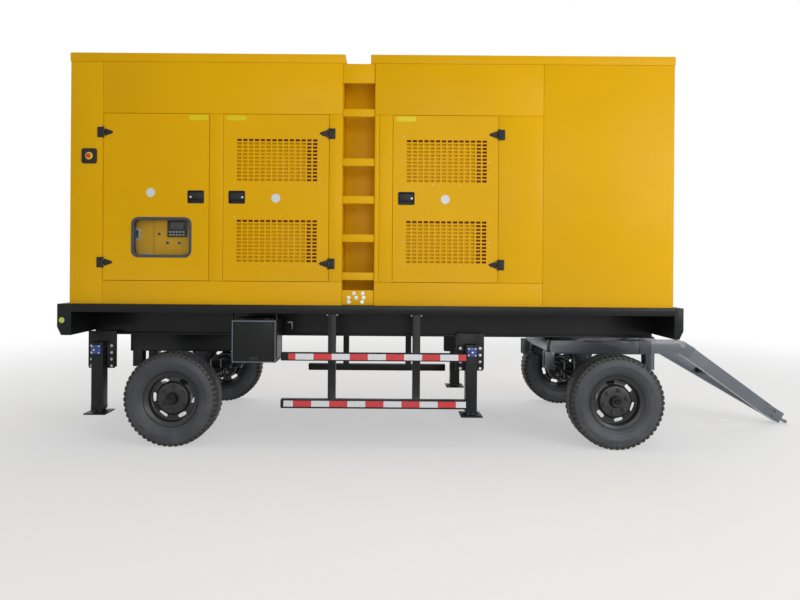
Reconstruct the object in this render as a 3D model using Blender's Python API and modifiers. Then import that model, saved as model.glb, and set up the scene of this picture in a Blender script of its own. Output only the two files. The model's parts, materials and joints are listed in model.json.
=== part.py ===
"""Towable diesel generator: canopy generator set on a four-wheel trailer with a turntable drawbar.

Metres, +Z up, +X towards the tow eye, -Y is the right-hand side. The origin lies on the ground under
the middle of the bounding box. Distances along the trailer are measured from the deck's rear end.
"""
import math

import bmesh
import bpy
from mathutils import Matrix, Vector

# Overall sizes
DECK_LENGTH = 5.223
WIDTH = 1.90
HEIGHT = 3.305
DECK_TOP = 1.196
GAP = 0.0003            # clearance between two pieces that touch
BITE = 0.005            # overlap of two shapes that are welded into one piece

# Deck and main beams
RAIL_DEPTH = 0.066
RAIL_WIDTH = 0.050
RAIL_INSET = 0.0005
FLOOR_THICKNESS = 0.006
CROSS_DEPTH = 0.064
CROSS_WIDTH = 0.060
CROSS_COUNT = 5
REAR_BEAM = 0.115
FRONT_BEAM = 0.075
END_BEAM_DEPTH = 0.261
CHAMFER = (0.033, 0.071)
BEAM_Y = 0.52
BEAM_FLANGE = 0.100
BEAM_SHEET = 0.012
BEAM_BOTTOM = 0.900

# Running gear
TYRE_RADIUS = 0.4025
TYRE_WIDTH = 0.215
WHEEL_INSET = 0.005     # tyre's outer face inside the overall width
WHEEL_STEPS = 20
SEAT_RADIUS = 0.203
FLANGE_RADIUS = 0.230
FLANGE_HALF = 0.0735
FLANGE_SHEET = 0.006
STUB_RADIUS = 0.030
STUB_CLEARANCE = 0.0012
HAND_HOLES = 6
REAR_AXLE_AT = 0.940
FRONT_AXLE_BACK = 0.533  # front axle behind the deck's front end
AXLE_BAR = 0.090
AXLE_BAR_HALF = 0.600
SPRING_Y = 0.45
SPRING_WIDTH = 0.071
SPRING_REACH = 0.455
SPRING_RISE = 0.190
SPRING_STACK = 0.065
SPRING_LEAF = 0.012
EYE_RADIUS = 0.0225
SPRING_PIN = 0.011
PIN_CLEARANCE = 0.001
HANGER_SHEET = 0.013
HANGER_BELOW_EYE = 0.030
FRAME_WIDTH = 0.080
FRAME_BOTTOM = 0.741
FRAME_TOP = 0.863
SUBFRAME = (0.42, 1.45)
RING_OUTER = 0.52
RING_INNER = 0.42
RING_HEIGHT = 0.018
TURNTABLE_BEHIND = 0.445
TURNTABLE_AHEAD = 0.463

# Drawbar
HINGE_AHEAD = 0.212     # drawbar hinge ahead of the deck's front end
HINGE_Z = 0.810
DROOP = math.radians(32.0)
EAR_RADIUS = 0.059
EAR_SHEET = 0.012
HINGE_PIN = 0.016
ARM_DEPTH = 0.116
ARM_WIDTH = 0.060
NOSE_END = 1.415
NOSE_LENGTH = 0.215
NOSE_WIDTH = 0.120
NOSE_DEPTH = 0.107
TOW_EYE_REACH = 0.096
TOW_EYE_OUTER = 0.055
TOW_EYE_INNER = 0.030
TOW_EYE_THICKNESS = 0.020

# Landing jacks
JACK_TUBE = 0.100
JACK_WALL = 0.008
JACK_PLAY = 0.0005
JACK_BOTTOM = 0.245
JACK_TOP = 0.840
JACK_FOOT = 0.190
JACK_FOOT_SHEET = 0.012
JACK_FOOT_Z = 0.213
JACK_PLATE = 0.014
JACK_FLANGE = (0.230, 0.012, 0.600, 0.820)
JACK_BRACKET = (0.250, 0.610, 0.930)
REAR_JACK_AT = 0.205
FRONT_JACK_BEHIND_AXLE = 1.193

# Side guards and toolbox
GUARD_SIZE = 0.060
GUARD_INSET = 0.025
GUARD_REAR_CLEAR = 0.925
GUARD_FRONT_CLEAR = 1.272
GUARD_RAILS = ((0.335, 0.408), (0.733, 0.798))
GUARD_POST = (0.065, 0.050)
GUARD_POST_IN = (0.425, 0.419)
TOOLBOX_AT = (1.454, 1.822)
TOOLBOX_Z = (0.715, 1.072)
TOOLBOX_WALL = 0.006
TOOLBOX_INSET = 0.020
TOOLBOX_DOOR = 0.012
TOOLBOX_STRAP = (0.006, 0.050)
TOOLBOX_PIN = 0.0025
TOOLBOX_KNUCKLE = 0.006
TOOLBOX_PIN_UP = 0.0085

# Canopy
CANOPY_INSET = 0.035
PANEL = 0.040
CANOPY_REAR = 0.085
CANOPY_FRONT_INSET = 0.071
ROOF_DEPTH = 0.075
ROOF_OVERHANG = 0.007
RECESS_AT = 2.388
RECESS_WIDTH = 0.212
RECESS_DEPTH = 0.280
RECESS_WALLS = (0.020, 0.038)
RUNG_HEIGHT = 0.064
RUNG_SHEET = 0.008
RUNG_HEIGHTS = (0.247, 0.567, 0.890, 1.206, 1.621)
HEADER_DEPTH = 0.164
STEP_PLATE_HEIGHT = 0.134
OUTLET = (1.30, 1.30, 9)

# Doors, hinges and locks
DOOR_WIDTH = 0.884
DOOR_BOTTOM_UP = 0.201
DOOR_TOP_DOWN = 0.435
DOOR_GAP = 0.003
HINGE_OUT = 0.0095
HINGE_LEAF = (0.0105, 0.065, 0.006)
HINGE_HEIGHT = 0.095
KNUCKLE_RADIUS = 0.008
KNUCKLE_SPLIT = 0.015
DOOR_PIN = 0.004
HINGE_UP = 0.149
HINGE_DOWN = 0.158
LOCK_POCKET = (0.131, 0.101, 0.028)
LOCK_IN = 0.110
PADDLE = (0.121, 0.060, 0.006)
PADDLE_ROD = 0.004
PADDLE_ROD_IN = (0.0085, 0.006)
WINDOW_SIDES = (0.234, 0.143)      # from the door's rear and front edges
WINDOW_UP = 0.191
WINDOW_BELOW_MIDDLE = 0.168
PANE = (0.005, 0.017)
GRILLE_SIDES = (0.092, 0.108)      # from the door's hinge and lock edges
GRILLE_MARGINS = (0.155, 0.315, 0.200)
GRILLE_SLOTS = 4
SLOT_SHARE = 0.7         # of the pitch between two slots
DOORS = (               # name, side, distance of the rear edge, hinge edge, fitting
    ("control_door", -1, 0.365, "rear", "window"),
    ("rear_engine_door_right", -1, 1.370, "front", "grille"),
    ("front_engine_door_right", -1, 2.792, "front", "grille"),
    ("rear_engine_door_left", 1, 1.370, "front", "grille"),
    ("front_engine_door_left", 1, 2.792, "front", "grille"),
)
E_STOP_AT = (0.245, 1.240)
E_STOP_PLATE = (0.127, 0.010)
E_STOP_STEM = 0.008
E_STOP_HEAD = (0.019, 0.012, 0.012)

# Generator set
SHAFT_UP = 0.604
BASE = (0.95, 3.58, 0.42, 0.204)
CABINET = (0.45, 1.16, 0.035, 0.260, 1.154)
ALTERNATOR = (1.05, 1.85, 0.330)
ENGINE_END = 3.35
ENGINE_HALF = 0.30
ENGINE_UP = 1.154
FAN_AT = 3.47
FAN_WIDTH = 0.060
FAN_RADIUS = 0.40
FAN_BLADES = 6
FAN_SHAFT = 0.020
FAN_UP = 0.754
RADIATOR = (3.62, 3.80, 0.62, 0.33)

# Sizes that follow
HINGE_AT = DECK_LENGTH + HINGE_AHEAD
EYE_END = NOSE_END + TOW_EYE_REACH
LENGTH = HINGE_AT + EYE_END * math.cos(DROOP) + TOW_EYE_THICKNESS / 2 * math.sin(DROOP)
AXLE_Z = TYRE_RADIUS * math.cos(math.pi / WHEEL_STEPS)
WHEEL_Y = WIDTH / 2 - WHEEL_INSET - TYRE_WIDTH / 2
FRONT_AXLE_AT = DECK_LENGTH - FRONT_AXLE_BACK
SPRING_EYE_Z = AXLE_Z + AXLE_BAR / 2 + SPRING_RISE
BEAM_TOP = DECK_TOP - CROSS_DEPTH - GAP
BEAM_OUTER = BEAM_Y + BEAM_FLANGE / 2
RING_TOP = BEAM_BOTTOM - GAP
BRACKET_FACE = BEAM_OUTER - BITE + JACK_PLATE
JACK_Y = BRACKET_FACE + GAP + JACK_TUBE / 2
JACKS = (
    ("rear_right", -1, REAR_JACK_AT), ("rear_left", 1, REAR_JACK_AT),
    ("front_right", -1, FRONT_AXLE_AT - FRONT_JACK_BEHIND_AXLE),
    ("front_left", 1, FRONT_AXLE_AT - FRONT_JACK_BEHIND_AXLE),
)
WHEELS = (
    ("rear_right", -1, REAR_AXLE_AT), ("rear_left", 1, REAR_AXLE_AT),
    ("front_right", -1, FRONT_AXLE_AT), ("front_left", 1, FRONT_AXLE_AT),
)
CANOPY_HALF = WIDTH / 2 - CANOPY_INSET
CANOPY_FRONT = DECK_LENGTH - CANOPY_FRONT_INSET
CANOPY_BOTTOM = DECK_TOP + GAP
ROOF_SEAM = HEIGHT - ROOF_DEPTH
CANOPY_TOP = ROOF_SEAM - GAP
RECESS_END = RECESS_AT + RECESS_WIDTH
DOOR_BOTTOM = DECK_TOP + DOOR_BOTTOM_UP
DOOR_TOP = ROOF_SEAM - DOOR_TOP_DOWN
DOOR_MIDDLE = (DOOR_BOTTOM + DOOR_TOP) / 2
GRILLE_HEIGHT = (DOOR_TOP - DOOR_BOTTOM - sum(GRILLE_MARGINS)) / 2
SHAFT_Z = DECK_TOP + SHAFT_UP
BASE_TOP = DECK_TOP + BASE[3]

FINISHES = {            # colour, roughness, metallic
    "yellow": ((0.74, 0.38, 0.0), 0.35, 0.0),
    "black": ((0.012, 0.013, 0.015), 0.35, 0.0),
    "rim": ((0.02, 0.02, 0.022), 0.45, 0.3),
    "rubber": ((0.035, 0.035, 0.037), 0.85, 0.0),
    "steel": ((0.45, 0.45, 0.46), 0.35, 1.0),
    "cast": ((0.05, 0.07, 0.06), 0.6, 0.2),
    "core": ((0.10, 0.10, 0.10), 0.6, 0.6),
    "plastic": ((0.02, 0.02, 0.02), 0.5, 0.0),
    "red": ((0.60, 0.01, 0.01), 0.35, 0.0),
    "glass": ((0.55, 0.60, 0.60), 0.05, 0.0),
}


def along(distance):
    """X of a place at this distance from the deck's rear end."""
    return distance - LENGTH / 2


def clear_scene():
    for item in list(bpy.data.objects):
        bpy.data.objects.remove(item, do_unlink=True)
    parts = bpy.data.collections.new("towable_generator")
    tools = bpy.data.collections.new("cutters")
    bpy.context.scene.collection.children.link(parts)
    bpy.context.scene.collection.children.link(tools)
    return parts, tools


PARTS, TOOLS = clear_scene()
WORLD = {}              # each object's own place before it gets a parent


def finish_material(name, finish):
    colour, roughness, metallic = FINISHES[finish]
    material = bpy.data.materials.new(name + "_" + finish)
    material.use_nodes = True
    shader = material.node_tree.nodes["Principled BSDF"]
    shader.inputs["Base Color"].default_value = (*colour, 1.0)
    shader.inputs["Roughness"].default_value = roughness
    shader.inputs["Metallic"].default_value = metallic
    material.diffuse_color = (*colour, 1.0)
    return material


def new_object(name, shape, collection):
    mesh = bpy.data.meshes.new(name)
    shape.to_mesh(mesh)
    shape.free()
    item = bpy.data.objects.new(name, mesh)
    collection.objects.link(item)
    return item


def part(name, shape, finish, origin=(0, 0, 0)):
    """A named sub-part from a shape in world places, with its own origin and material."""
    bmesh.ops.translate(shape, vec=-Vector(origin), verts=shape.verts)
    item = new_object(name, shape, PARTS)
    item.location = origin
    item.data.materials.append(finish_material(name, finish))
    WORLD[name] = Vector(origin)
    return item


def tool(shape):
    item = new_object("cutter", shape, TOOLS)
    item.hide_render = True
    item.display_type = "WIRE"
    return item


def boolean(item, shape, operation):
    modifier = item.modifiers.new(operation.lower(), "BOOLEAN")
    modifier.operation = operation
    modifier.object = tool(shape)


def join(item, *shapes):
    for shape in shapes:
        boolean(item, shape, "UNION")


def cut(item, *shapes):
    for shape in shapes:
        boolean(item, shape, "DIFFERENCE")


def carry(child, carrier):
    """The child keeps its place and moves with its carrier, which isn't turned."""
    child.parent = carrier
    child.location = WORLD[child.name] - WORLD[carrier.name]


def block(x, y, z):
    shape = bmesh.new()
    bmesh.ops.create_cube(shape, size=1.0)
    spans = [sorted(pair) for pair in (x, y, z)]
    bmesh.ops.scale(shape, vec=[high - low for low, high in spans], verts=shape.verts)
    bmesh.ops.translate(shape, vec=[(high + low) / 2 for low, high in spans], verts=shape.verts)
    return shape


def together(shapes):
    """Several shapes that don't meet, as one."""
    whole = bmesh.new()
    for shape in shapes:
        mesh = bpy.data.meshes.new("piece")
        shape.to_mesh(mesh)
        shape.free()
        whole.from_mesh(mesh)
        bpy.data.meshes.remove(mesh)
    return whole


def rod(start, end, radius, sides=12):
    start, end = Vector(start), Vector(end)
    shape = bmesh.new()
    bmesh.ops.create_cone(shape, cap_ends=True, segments=sides, radius1=radius, radius2=radius,
                          depth=(end - start).length)
    turn = Vector((0, 0, 1)).rotation_difference(end - start).to_matrix().to_4x4()
    bmesh.ops.transform(shape, matrix=Matrix.Translation((start + end) / 2) @ turn, verts=shape.verts)
    return shape


def outline(points, thickness, plane, middle):
    """A flat outline given a thickness: plane XZ stands across Y, plane YZ stands across X."""
    curve = bpy.data.curves.new("outline", "CURVE")
    curve.dimensions = "2D"
    curve.fill_mode = "BOTH"
    curve.extrude = thickness / 2
    spline = curve.splines.new("POLY")
    spline.points.add(len(points) - 1)
    for point, (u, v) in zip(spline.points, points):
        point.co = (u, v, 0, 1)
    spline.use_cyclic_u = True
    item = bpy.data.objects.new("outline", curve)
    TOOLS.objects.link(item)
    bpy.context.view_layer.update()
    mesh = bpy.data.meshes.new_from_object(item.evaluated_get(bpy.context.evaluated_depsgraph_get()))
    shape = bmesh.new()
    shape.from_mesh(mesh)
    bpy.data.objects.remove(item, do_unlink=True)
    bpy.data.meshes.remove(mesh)
    bmesh.ops.remove_doubles(shape, verts=shape.verts, dist=0.00001)
    bmesh.ops.dissolve_limit(shape, angle_limit=0.001, verts=shape.verts, edges=shape.edges)
    if plane == "XZ":
        turn, shift = Matrix(((1, 0, 0), (0, 0, -1), (0, 1, 0))), (0, middle, 0)
    else:
        turn, shift = Matrix(((0, 0, 1), (1, 0, 0), (0, 1, 0))), (middle, 0, 0)
    bmesh.ops.transform(shape, matrix=Matrix.Translation(shift) @ turn.to_4x4(), verts=shape.verts)
    return shape


def turned(name, profile, finish, origin, rotation=(0, 0, 0), steps=WHEEL_STEPS, closed=False):
    """A turned sub-part from (radius, height) points that run down its outer side."""
    shape = bmesh.new()
    verts = [shape.verts.new((radius, 0, height)) for radius, height in profile]
    for first, second in zip(verts, verts[1:]):
        shape.edges.new((first, second))
    if closed:
        shape.edges.new((verts[-1], verts[0]))
    item = part(name, shape, finish)
    screw = item.modifiers.new("turn", "SCREW")
    screw.steps = steps
    screw.render_steps = steps
    screw.use_merge_vertices = True
    screw.merge_threshold = 0.0001
    item.location = origin
    item.rotation_euler = rotation
    WORLD[name] = Vector(origin)
    return item


def ring(outer, inner, low, high):
    return [(inner, high), (outer, high), (outer, low), (inner, low)]


def both_sides(side, inner, outer):
    return side * inner, side * outer


# Deck and main beams

def deck_frame():
    half = WIDTH / 2
    rear, front = along(0), along(DECK_LENGTH)
    in_rear, in_front = rear + REAR_BEAM / 2, front - FRONT_BEAM / 2
    floor_top = DECK_TOP - GAP
    rail_out = half - RAIL_INSET
    rail_in = rail_out - RAIL_WIDTH
    item = part("deck_frame", block((in_rear, in_front), (-rail_in - BITE, rail_in + BITE),
                                    (floor_top - FLOOR_THICKNESS, floor_top)), "black")
    join(item, together([block((in_rear, in_front), both_sides(side, rail_in, rail_out),
                               (DECK_TOP - RAIL_DEPTH, DECK_TOP - RAIL_INSET)) for side in (-1, 1)]))
    bay = (DECK_LENGTH - REAR_BEAM - FRONT_BEAM) / (CROSS_COUNT + 1)
    crosses = []
    for number in range(CROSS_COUNT):
        middle = rear + REAR_BEAM + bay * (number + 1)
        crosses.append(block((middle - CROSS_WIDTH / 2, middle + CROSS_WIDTH / 2),
                             (-rail_in - BITE, rail_in + BITE),
                             (DECK_TOP - CROSS_DEPTH, floor_top - FLOOR_THICKNESS / 2)))
    join(item, together(crosses))
    low = DECK_TOP - END_BEAM_DEPTH
    ends = ((rear, rear + REAR_BEAM, CHAMFER[0]), (front, front - FRONT_BEAM, -CHAMFER[0]))
    for outer, inner, slope in ends:
        points = [(outer, DECK_TOP), (inner, DECK_TOP), (inner, low), (outer + slope, low),
                  (outer, low + CHAMFER[1])]
        join(item, outline(points, WIDTH, "XZ", 0))


def hangers(middle, side):
    """Forks with a pin, one at each end of a leaf spring."""
    shapes = []
    for end in (-1, 1):
        x = middle + end * SPRING_REACH
        inner = SPRING_Y - SPRING_WIDTH / 2 - 0.001
        outer = SPRING_Y + SPRING_WIDTH / 2 + 0.001
        for near, far in ((inner - HANGER_SHEET, inner), (outer, outer + HANGER_SHEET)):
            shapes.append(block((x - 0.040, x + 0.040), both_sides(side, near, far),
                                (SPRING_EYE_Z - HANGER_BELOW_EYE, FRAME_BOTTOM + 0.020)))
    pins = [rod((middle + end * SPRING_REACH, side * (SPRING_Y - SPRING_WIDTH / 2 - 0.008), SPRING_EYE_Z),
                (middle + end * SPRING_REACH, side * (SPRING_Y + SPRING_WIDTH / 2 + 0.008), SPRING_EYE_Z),
                SPRING_PIN) for end in (-1, 1)]
    return together(shapes), together(pins)


def main_beam(name, side):
    half, web = BEAM_FLANGE / 2, BEAM_SHEET / 2
    low, high = BEAM_BOTTOM, BEAM_TOP
    length = (along(REAR_BEAM + GAP), along(DECK_LENGTH - FRONT_BEAM - GAP))
    item = part(name, block(length, (side * BEAM_Y - web, side * BEAM_Y + web),
                            (low + BEAM_SHEET / 2, high - BEAM_SHEET / 2)), "black")
    flange = (side * BEAM_Y - half, side * BEAM_Y + half)
    longer = (length[0] - RAIL_INSET / 5, length[1] + RAIL_INSET / 5)
    join(item, together([block(longer, flange, (low, low + BEAM_SHEET)),
                         block(longer, flange, (high - BEAM_SHEET, high))]))
    frame = both_sides(side, SPRING_Y - FRAME_WIDTH / 2, SPRING_Y + FRAME_WIDTH / 2)
    join(item, block((along(SUBFRAME[0]), along(SUBFRAME[1])), frame, (FRAME_BOTTOM, low + BITE)))
    width, bottom, top = JACK_BRACKET
    join(item, together([block((along(place) - width / 2, along(place) + width / 2),
                               both_sides(side, BEAM_OUTER - BITE, BRACKET_FACE), (bottom, top))
                         for jack, jack_side, place in JACKS if jack_side == side]))
    join(item, *hangers(along(REAR_AXLE_AT), side))


# Running gear

def running_gear():
    front = along(FRONT_AXLE_AT)
    turned("slewing_ring", ring(RING_OUTER, RING_INNER, RING_TOP - RING_HEIGHT, RING_TOP), "steel",
           (front, 0, 0), steps=24, closed=True)
    turntable = part("turntable_frame", together(
        [block((front - TURNTABLE_BEHIND, front + TURNTABLE_AHEAD),
               both_sides(side, SPRING_Y - FRAME_WIDTH / 2, SPRING_Y + FRAME_WIDTH / 2),
               (FRAME_BOTTOM, FRAME_TOP)) for side in (-1, 1)]), "black", (front, 0, 0))
    cross_y = SPRING_Y - FRAME_WIDTH / 2 + BITE
    join(turntable, together([block((x - 0.040, x + 0.040), (-cross_y, cross_y),
                                    (FRAME_BOTTOM + 0.010, FRAME_TOP - 0.002))
                              for x in (front - RING_INNER, front + RING_INNER - 0.04)]))
    ring_top = RING_TOP - RING_HEIGHT - GAP
    plate = rod((front, 0, FRAME_TOP - 0.008), (front, 0, ring_top), RING_OUTER, 24)
    join(turntable, plate)
    cut(turntable, rod((front, 0, FRAME_TOP - 0.02), (front, 0, ring_top + 0.02), RING_INNER - 0.06, 20))
    ears(turntable)
    for side in (-1, 1):
        join(turntable, *hangers(front, side))
    axles = (axle("rear_axle", REAR_AXLE_AT), axle("front_axle", FRONT_AXLE_AT))
    carry(axles[1], turntable)
    for name, side, place in WHEELS:
        spring = leaf_spring("leaf_spring_" + name, side, place)
        rim = wheel(name, side, place)
        if place == FRONT_AXLE_AT:
            carry(spring, turntable)
            carry(rim, turntable)
    return turntable


def ears(turntable):
    x, end = along(HINGE_AT), along(FRONT_AXLE_AT) + TURNTABLE_AHEAD
    fork = SPRING_Y - FRAME_WIDTH / 2
    inner = (fork - EAR_SHEET + 0.002, fork + 0.002)
    outer = (fork + FRAME_WIDTH - 0.002, fork + FRAME_WIDTH + EAR_SHEET - 0.002)
    nose = [(x + EAR_RADIUS * math.sin(math.pi * n / 8), HINGE_Z + EAR_RADIUS * math.cos(math.pi * n / 8))
            for n in range(9)]
    points = [(end - 0.10, HINGE_Z + EAR_RADIUS)] + nose + [(end - 0.10, HINGE_Z - EAR_RADIUS)]
    for side in (-1, 1):
        for low, high in (inner, outer):
            join(turntable, outline(points, high - low, "XZ", side * (low + high) / 2))
        join(turntable, rod((x, side * (inner[0] + BITE), HINGE_Z), (x, side * (outer[1] - BITE), HINGE_Z),
                            HINGE_PIN, 16))


def axle(name, place):
    x = along(place)
    half = AXLE_BAR / 2
    item = part(name, block((x - half, x + half), (-AXLE_BAR_HALF, AXLE_BAR_HALF),
                            (AXLE_Z - half, AXLE_Z + half)), "black", (x, 0, AXLE_Z))
    end = WHEEL_Y + 0.055
    join(item, rod((x, -end, AXLE_Z), (x, end, AXLE_Z), STUB_RADIUS, 16))
    return item


def leaf_spring(name, side, place):
    x, seat = along(place), AXLE_Z + AXLE_BAR / 2 + GAP
    steps = 12
    below, above = [], []
    flat = AXLE_BAR / 2 / SPRING_REACH
    for number in range(steps + 1):
        share = 2 * number / steps - 1
        bend = max(0.0, (abs(share) - flat) / (1 - flat))
        thickness = SPRING_LEAF + (SPRING_STACK - SPRING_LEAF) * (1 - bend)
        z = seat + (SPRING_RISE - SPRING_LEAF / 2 - GAP) * bend ** 1.6
        below.append((x + share * SPRING_REACH, z))
        above.append((x + share * SPRING_REACH, z + thickness))
    item = part(name, outline(below + above[::-1], SPRING_WIDTH, "XZ", side * SPRING_Y), "black")
    edge = both_sides(side, SPRING_Y - SPRING_WIDTH / 2, SPRING_Y + SPRING_WIDTH / 2)
    ends = [x - SPRING_REACH, x + SPRING_REACH]
    bore = SPRING_PIN + PIN_CLEARANCE
    join(item, together([rod((end, edge[0], SPRING_EYE_Z), (end, edge[1], SPRING_EYE_Z), EYE_RADIUS)
                         for end in ends]))
    cut(item, together([rod((end, edge[0] - side * 0.01, SPRING_EYE_Z),
                            (end, edge[1] + side * 0.01, SPRING_EYE_Z), bore) for end in ends]))
    return item


def wheel(name, side, place):
    origin = (along(place), side * WHEEL_Y, AXLE_Z)
    turn = (math.radians(-90 * side), side * math.pi / WHEEL_STEPS, 0)
    edge = FLANGE_HALF + FLANGE_SHEET
    bore = STUB_RADIUS + STUB_CLEARANCE
    web = SEAT_RADIUS - 0.013
    profile = [(0, 0.085), (0.045, 0.085), (0.055, 0.070), (0.055, 0.035), (0.125, 0.035), (0.145, 0.012),
               (web, 0.008), (web + 0.004, edge), (FLANGE_RADIUS, edge), (FLANGE_RADIUS, FLANGE_HALF),
               (SEAT_RADIUS, FLANGE_HALF), (SEAT_RADIUS, -FLANGE_HALF), (FLANGE_RADIUS, -FLANGE_HALF),
               (FLANGE_RADIUS, -edge), (web + 0.004, -edge), (web, -0.006), (0.145, -0.002),
               (0.120, 0.021), (0.060, 0.021), (0.060, -0.060), (bore, -0.060), (bore, 0.060), (0, 0.060)]
    rim = turned("wheel_rim_" + name, profile, "rim", origin, turn)
    middle = Vector(origin)
    holes = []
    for number in range(HAND_HOLES):
        hole = block((-0.035, 0.035), (-0.05, 0.05), (0.151, 0.180))
        spin = Matrix.Rotation(math.tau * number / HAND_HOLES, 4, "Y")
        bmesh.ops.transform(hole, matrix=Matrix.Translation(middle) @ spin, verts=hole.verts)
        holes.append(hole)
    cut(rim, together(holes))
    seat, half = SEAT_RADIUS + 2 * GAP, TYRE_WIDTH / 2
    heel = FLANGE_HALF - 0.001
    outside = [(seat, heel), (FLANGE_RADIUS + 0.002, heel), (FLANGE_RADIUS + 0.020, half - 0.015),
               (TYRE_RADIUS * 0.77, half), (TYRE_RADIUS * 0.93, half - 0.011), (TYRE_RADIUS, half - 0.040)]
    inside = [(seat, 0.055), (FLANGE_RADIUS + 0.005, 0.058), (TYRE_RADIUS * 0.77, half - 0.014),
              (TYRE_RADIUS * 0.955, half - 0.050)]
    profile = outside + [(r, -z) for r, z in outside[::-1]] + [(r, -z) for r, z in inside] + inside[::-1]
    tyre = turned("tyre_" + name, profile, "rubber", (0, 0, 0), closed=True)
    tyre.parent = rim
    return rim


# Drawbar

def drawbar(turntable):
    """Modelled level about its hinge, then turned down to the ground."""
    fork = SPRING_Y - FRAME_WIDTH / 2 + 0.0025
    knuckle = (fork, fork + FRAME_WIDTH - 0.005)
    half = ARM_DEPTH / 2
    item = part("drawbar", together([block((0, 0.115), both_sides(side, *knuckle), (-half, half))
                                     for side in (-1, 1)]), "black")
    start, nose = Vector((0.085, SPRING_Y, 0)), Vector((NOSE_END - NOSE_LENGTH + 0.06, 0.028, 0))
    for side in (-1, 1):
        join(item, rod((0, side * knuckle[0], 0), (0, side * knuckle[1], 0), half, 16))
        reach = nose - start
        arm = block((0, reach.length), (-ARM_WIDTH / 2, ARM_WIDTH / 2), (-half + 0.001, half - 0.001))
        place = Matrix.Translation((start.x, side * start.y, 0))
        place = place @ Matrix.Rotation(side * math.atan2(reach.y, reach.x), 4, "Z")
        bmesh.ops.transform(arm, matrix=place, verts=arm.verts)
        join(item, arm)
    join(item, block((NOSE_END - NOSE_LENGTH, NOSE_END), (-NOSE_WIDTH / 2, NOSE_WIDTH / 2),
                     (-NOSE_DEPTH / 2, NOSE_DEPTH / 2)))
    bore = HINGE_PIN + PIN_CLEARANCE
    cut(item, together([rod((0, side * (knuckle[0] - 0.01), 0), (0, side * (knuckle[1] + 0.01), 0), bore, 16)
                        for side in (-1, 1)]))
    hinge = (along(HINGE_AT), 0, HINGE_Z)
    place_turned("drawbar", item, hinge)
    middle = NOSE_END + TOW_EYE_REACH - TOW_EYE_OUTER
    thick = TOW_EYE_THICKNESS / 2
    eye = part("tow_eye", rod((middle, 0, -thick), (middle, 0, thick), TOW_EYE_OUTER, 24), "steel")
    join(eye, block((NOSE_END + GAP, middle - TOW_EYE_INNER - 0.010),
                    (-TOW_EYE_OUTER * 0.7, TOW_EYE_OUTER * 0.7), (-thick + 0.001, thick - 0.001)))
    cut(eye, rod((middle, 0, -0.02), (middle, 0, 0.02), TOW_EYE_INNER, 20),
        block((NOSE_END - 0.05, NOSE_END + GAP), (-0.1, 0.1), (-0.05, 0.05)))
    place_turned("tow_eye", eye, hinge)
    eye.parent = item
    eye.location = (0, 0, 0)
    eye.rotation_euler = (0, 0, 0)
    carry(item, turntable)


def place_turned(name, item, origin):
    """Moves a piece and its tools from level to the droop about the hinge."""
    item.location = origin
    item.rotation_euler = (0, DROOP, 0)
    WORLD[name] = Vector(origin)
    for modifier in item.modifiers:
        modifier.object.location = origin
        modifier.object.rotation_euler = (0, DROOP, 0)


# Landing jacks, guards and toolbox

def landing_jack(name, side, place):
    x, y = along(place), side * JACK_Y
    half, inner = JACK_TUBE / 2, JACK_TUBE / 2 - JACK_WALL
    leg = inner - JACK_PLAY
    housing = part("jack_housing_" + name, block((x - half, x + half), (y - half, y + half),
                                                 (JACK_BOTTOM, JACK_TOP)), "black")
    width, sheet, low, high = JACK_FLANGE
    near = JACK_Y - half
    join(housing, block((x - width / 2, x + width / 2), both_sides(side, near, near + sheet), (low, high)))
    cut(housing, block((x - inner, x + inner), (y - inner, y + inner),
                       (JACK_BOTTOM - 0.01, JACK_TOP - JACK_WALL)))
    foot = part("jack_leg_" + name, block((x - leg, x + leg), (y - leg, y + leg),
                                          (JACK_FOOT_Z + BITE, JACK_TOP - JACK_TUBE / 2)), "black",
                (x, y, JACK_FOOT_Z))
    pad = JACK_FOOT / 2
    join(foot, block((x - pad, x + pad), (y - pad, y + pad), (JACK_FOOT_Z, JACK_FOOT_Z + JACK_FOOT_SHEET)))
    hollow = leg - JACK_WALL
    cut(foot, block((x - hollow, x + hollow), (y - hollow, y + hollow),
                    (JACK_FOOT_Z + 2 * JACK_FOOT_SHEET, JACK_TOP)))
    carry(foot, housing)


def side_guard(name, side):
    start = along(REAR_AXLE_AT + GUARD_REAR_CLEAR)
    end = along(FRONT_AXLE_AT - GUARD_FRONT_CLEAR)
    outer = WIDTH / 2 - GUARD_INSET
    rails = [block((start, end), both_sides(side, outer - GUARD_SIZE, outer), rail) for rail in GUARD_RAILS]
    item = part(name, together(rails), "black")
    across = both_sides(side, outer - GUARD_SIZE + 0.005, outer - 0.005)
    posts = []
    for x in (start + GUARD_POST_IN[0], end - GUARD_POST_IN[1]):
        posts.append(block((x - GUARD_POST[0] / 2, x + GUARD_POST[0] / 2), across,
                           (GUARD_RAILS[0][0] + 0.020, DECK_TOP - RAIL_DEPTH - GAP)))
    join(item, together(posts))


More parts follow.
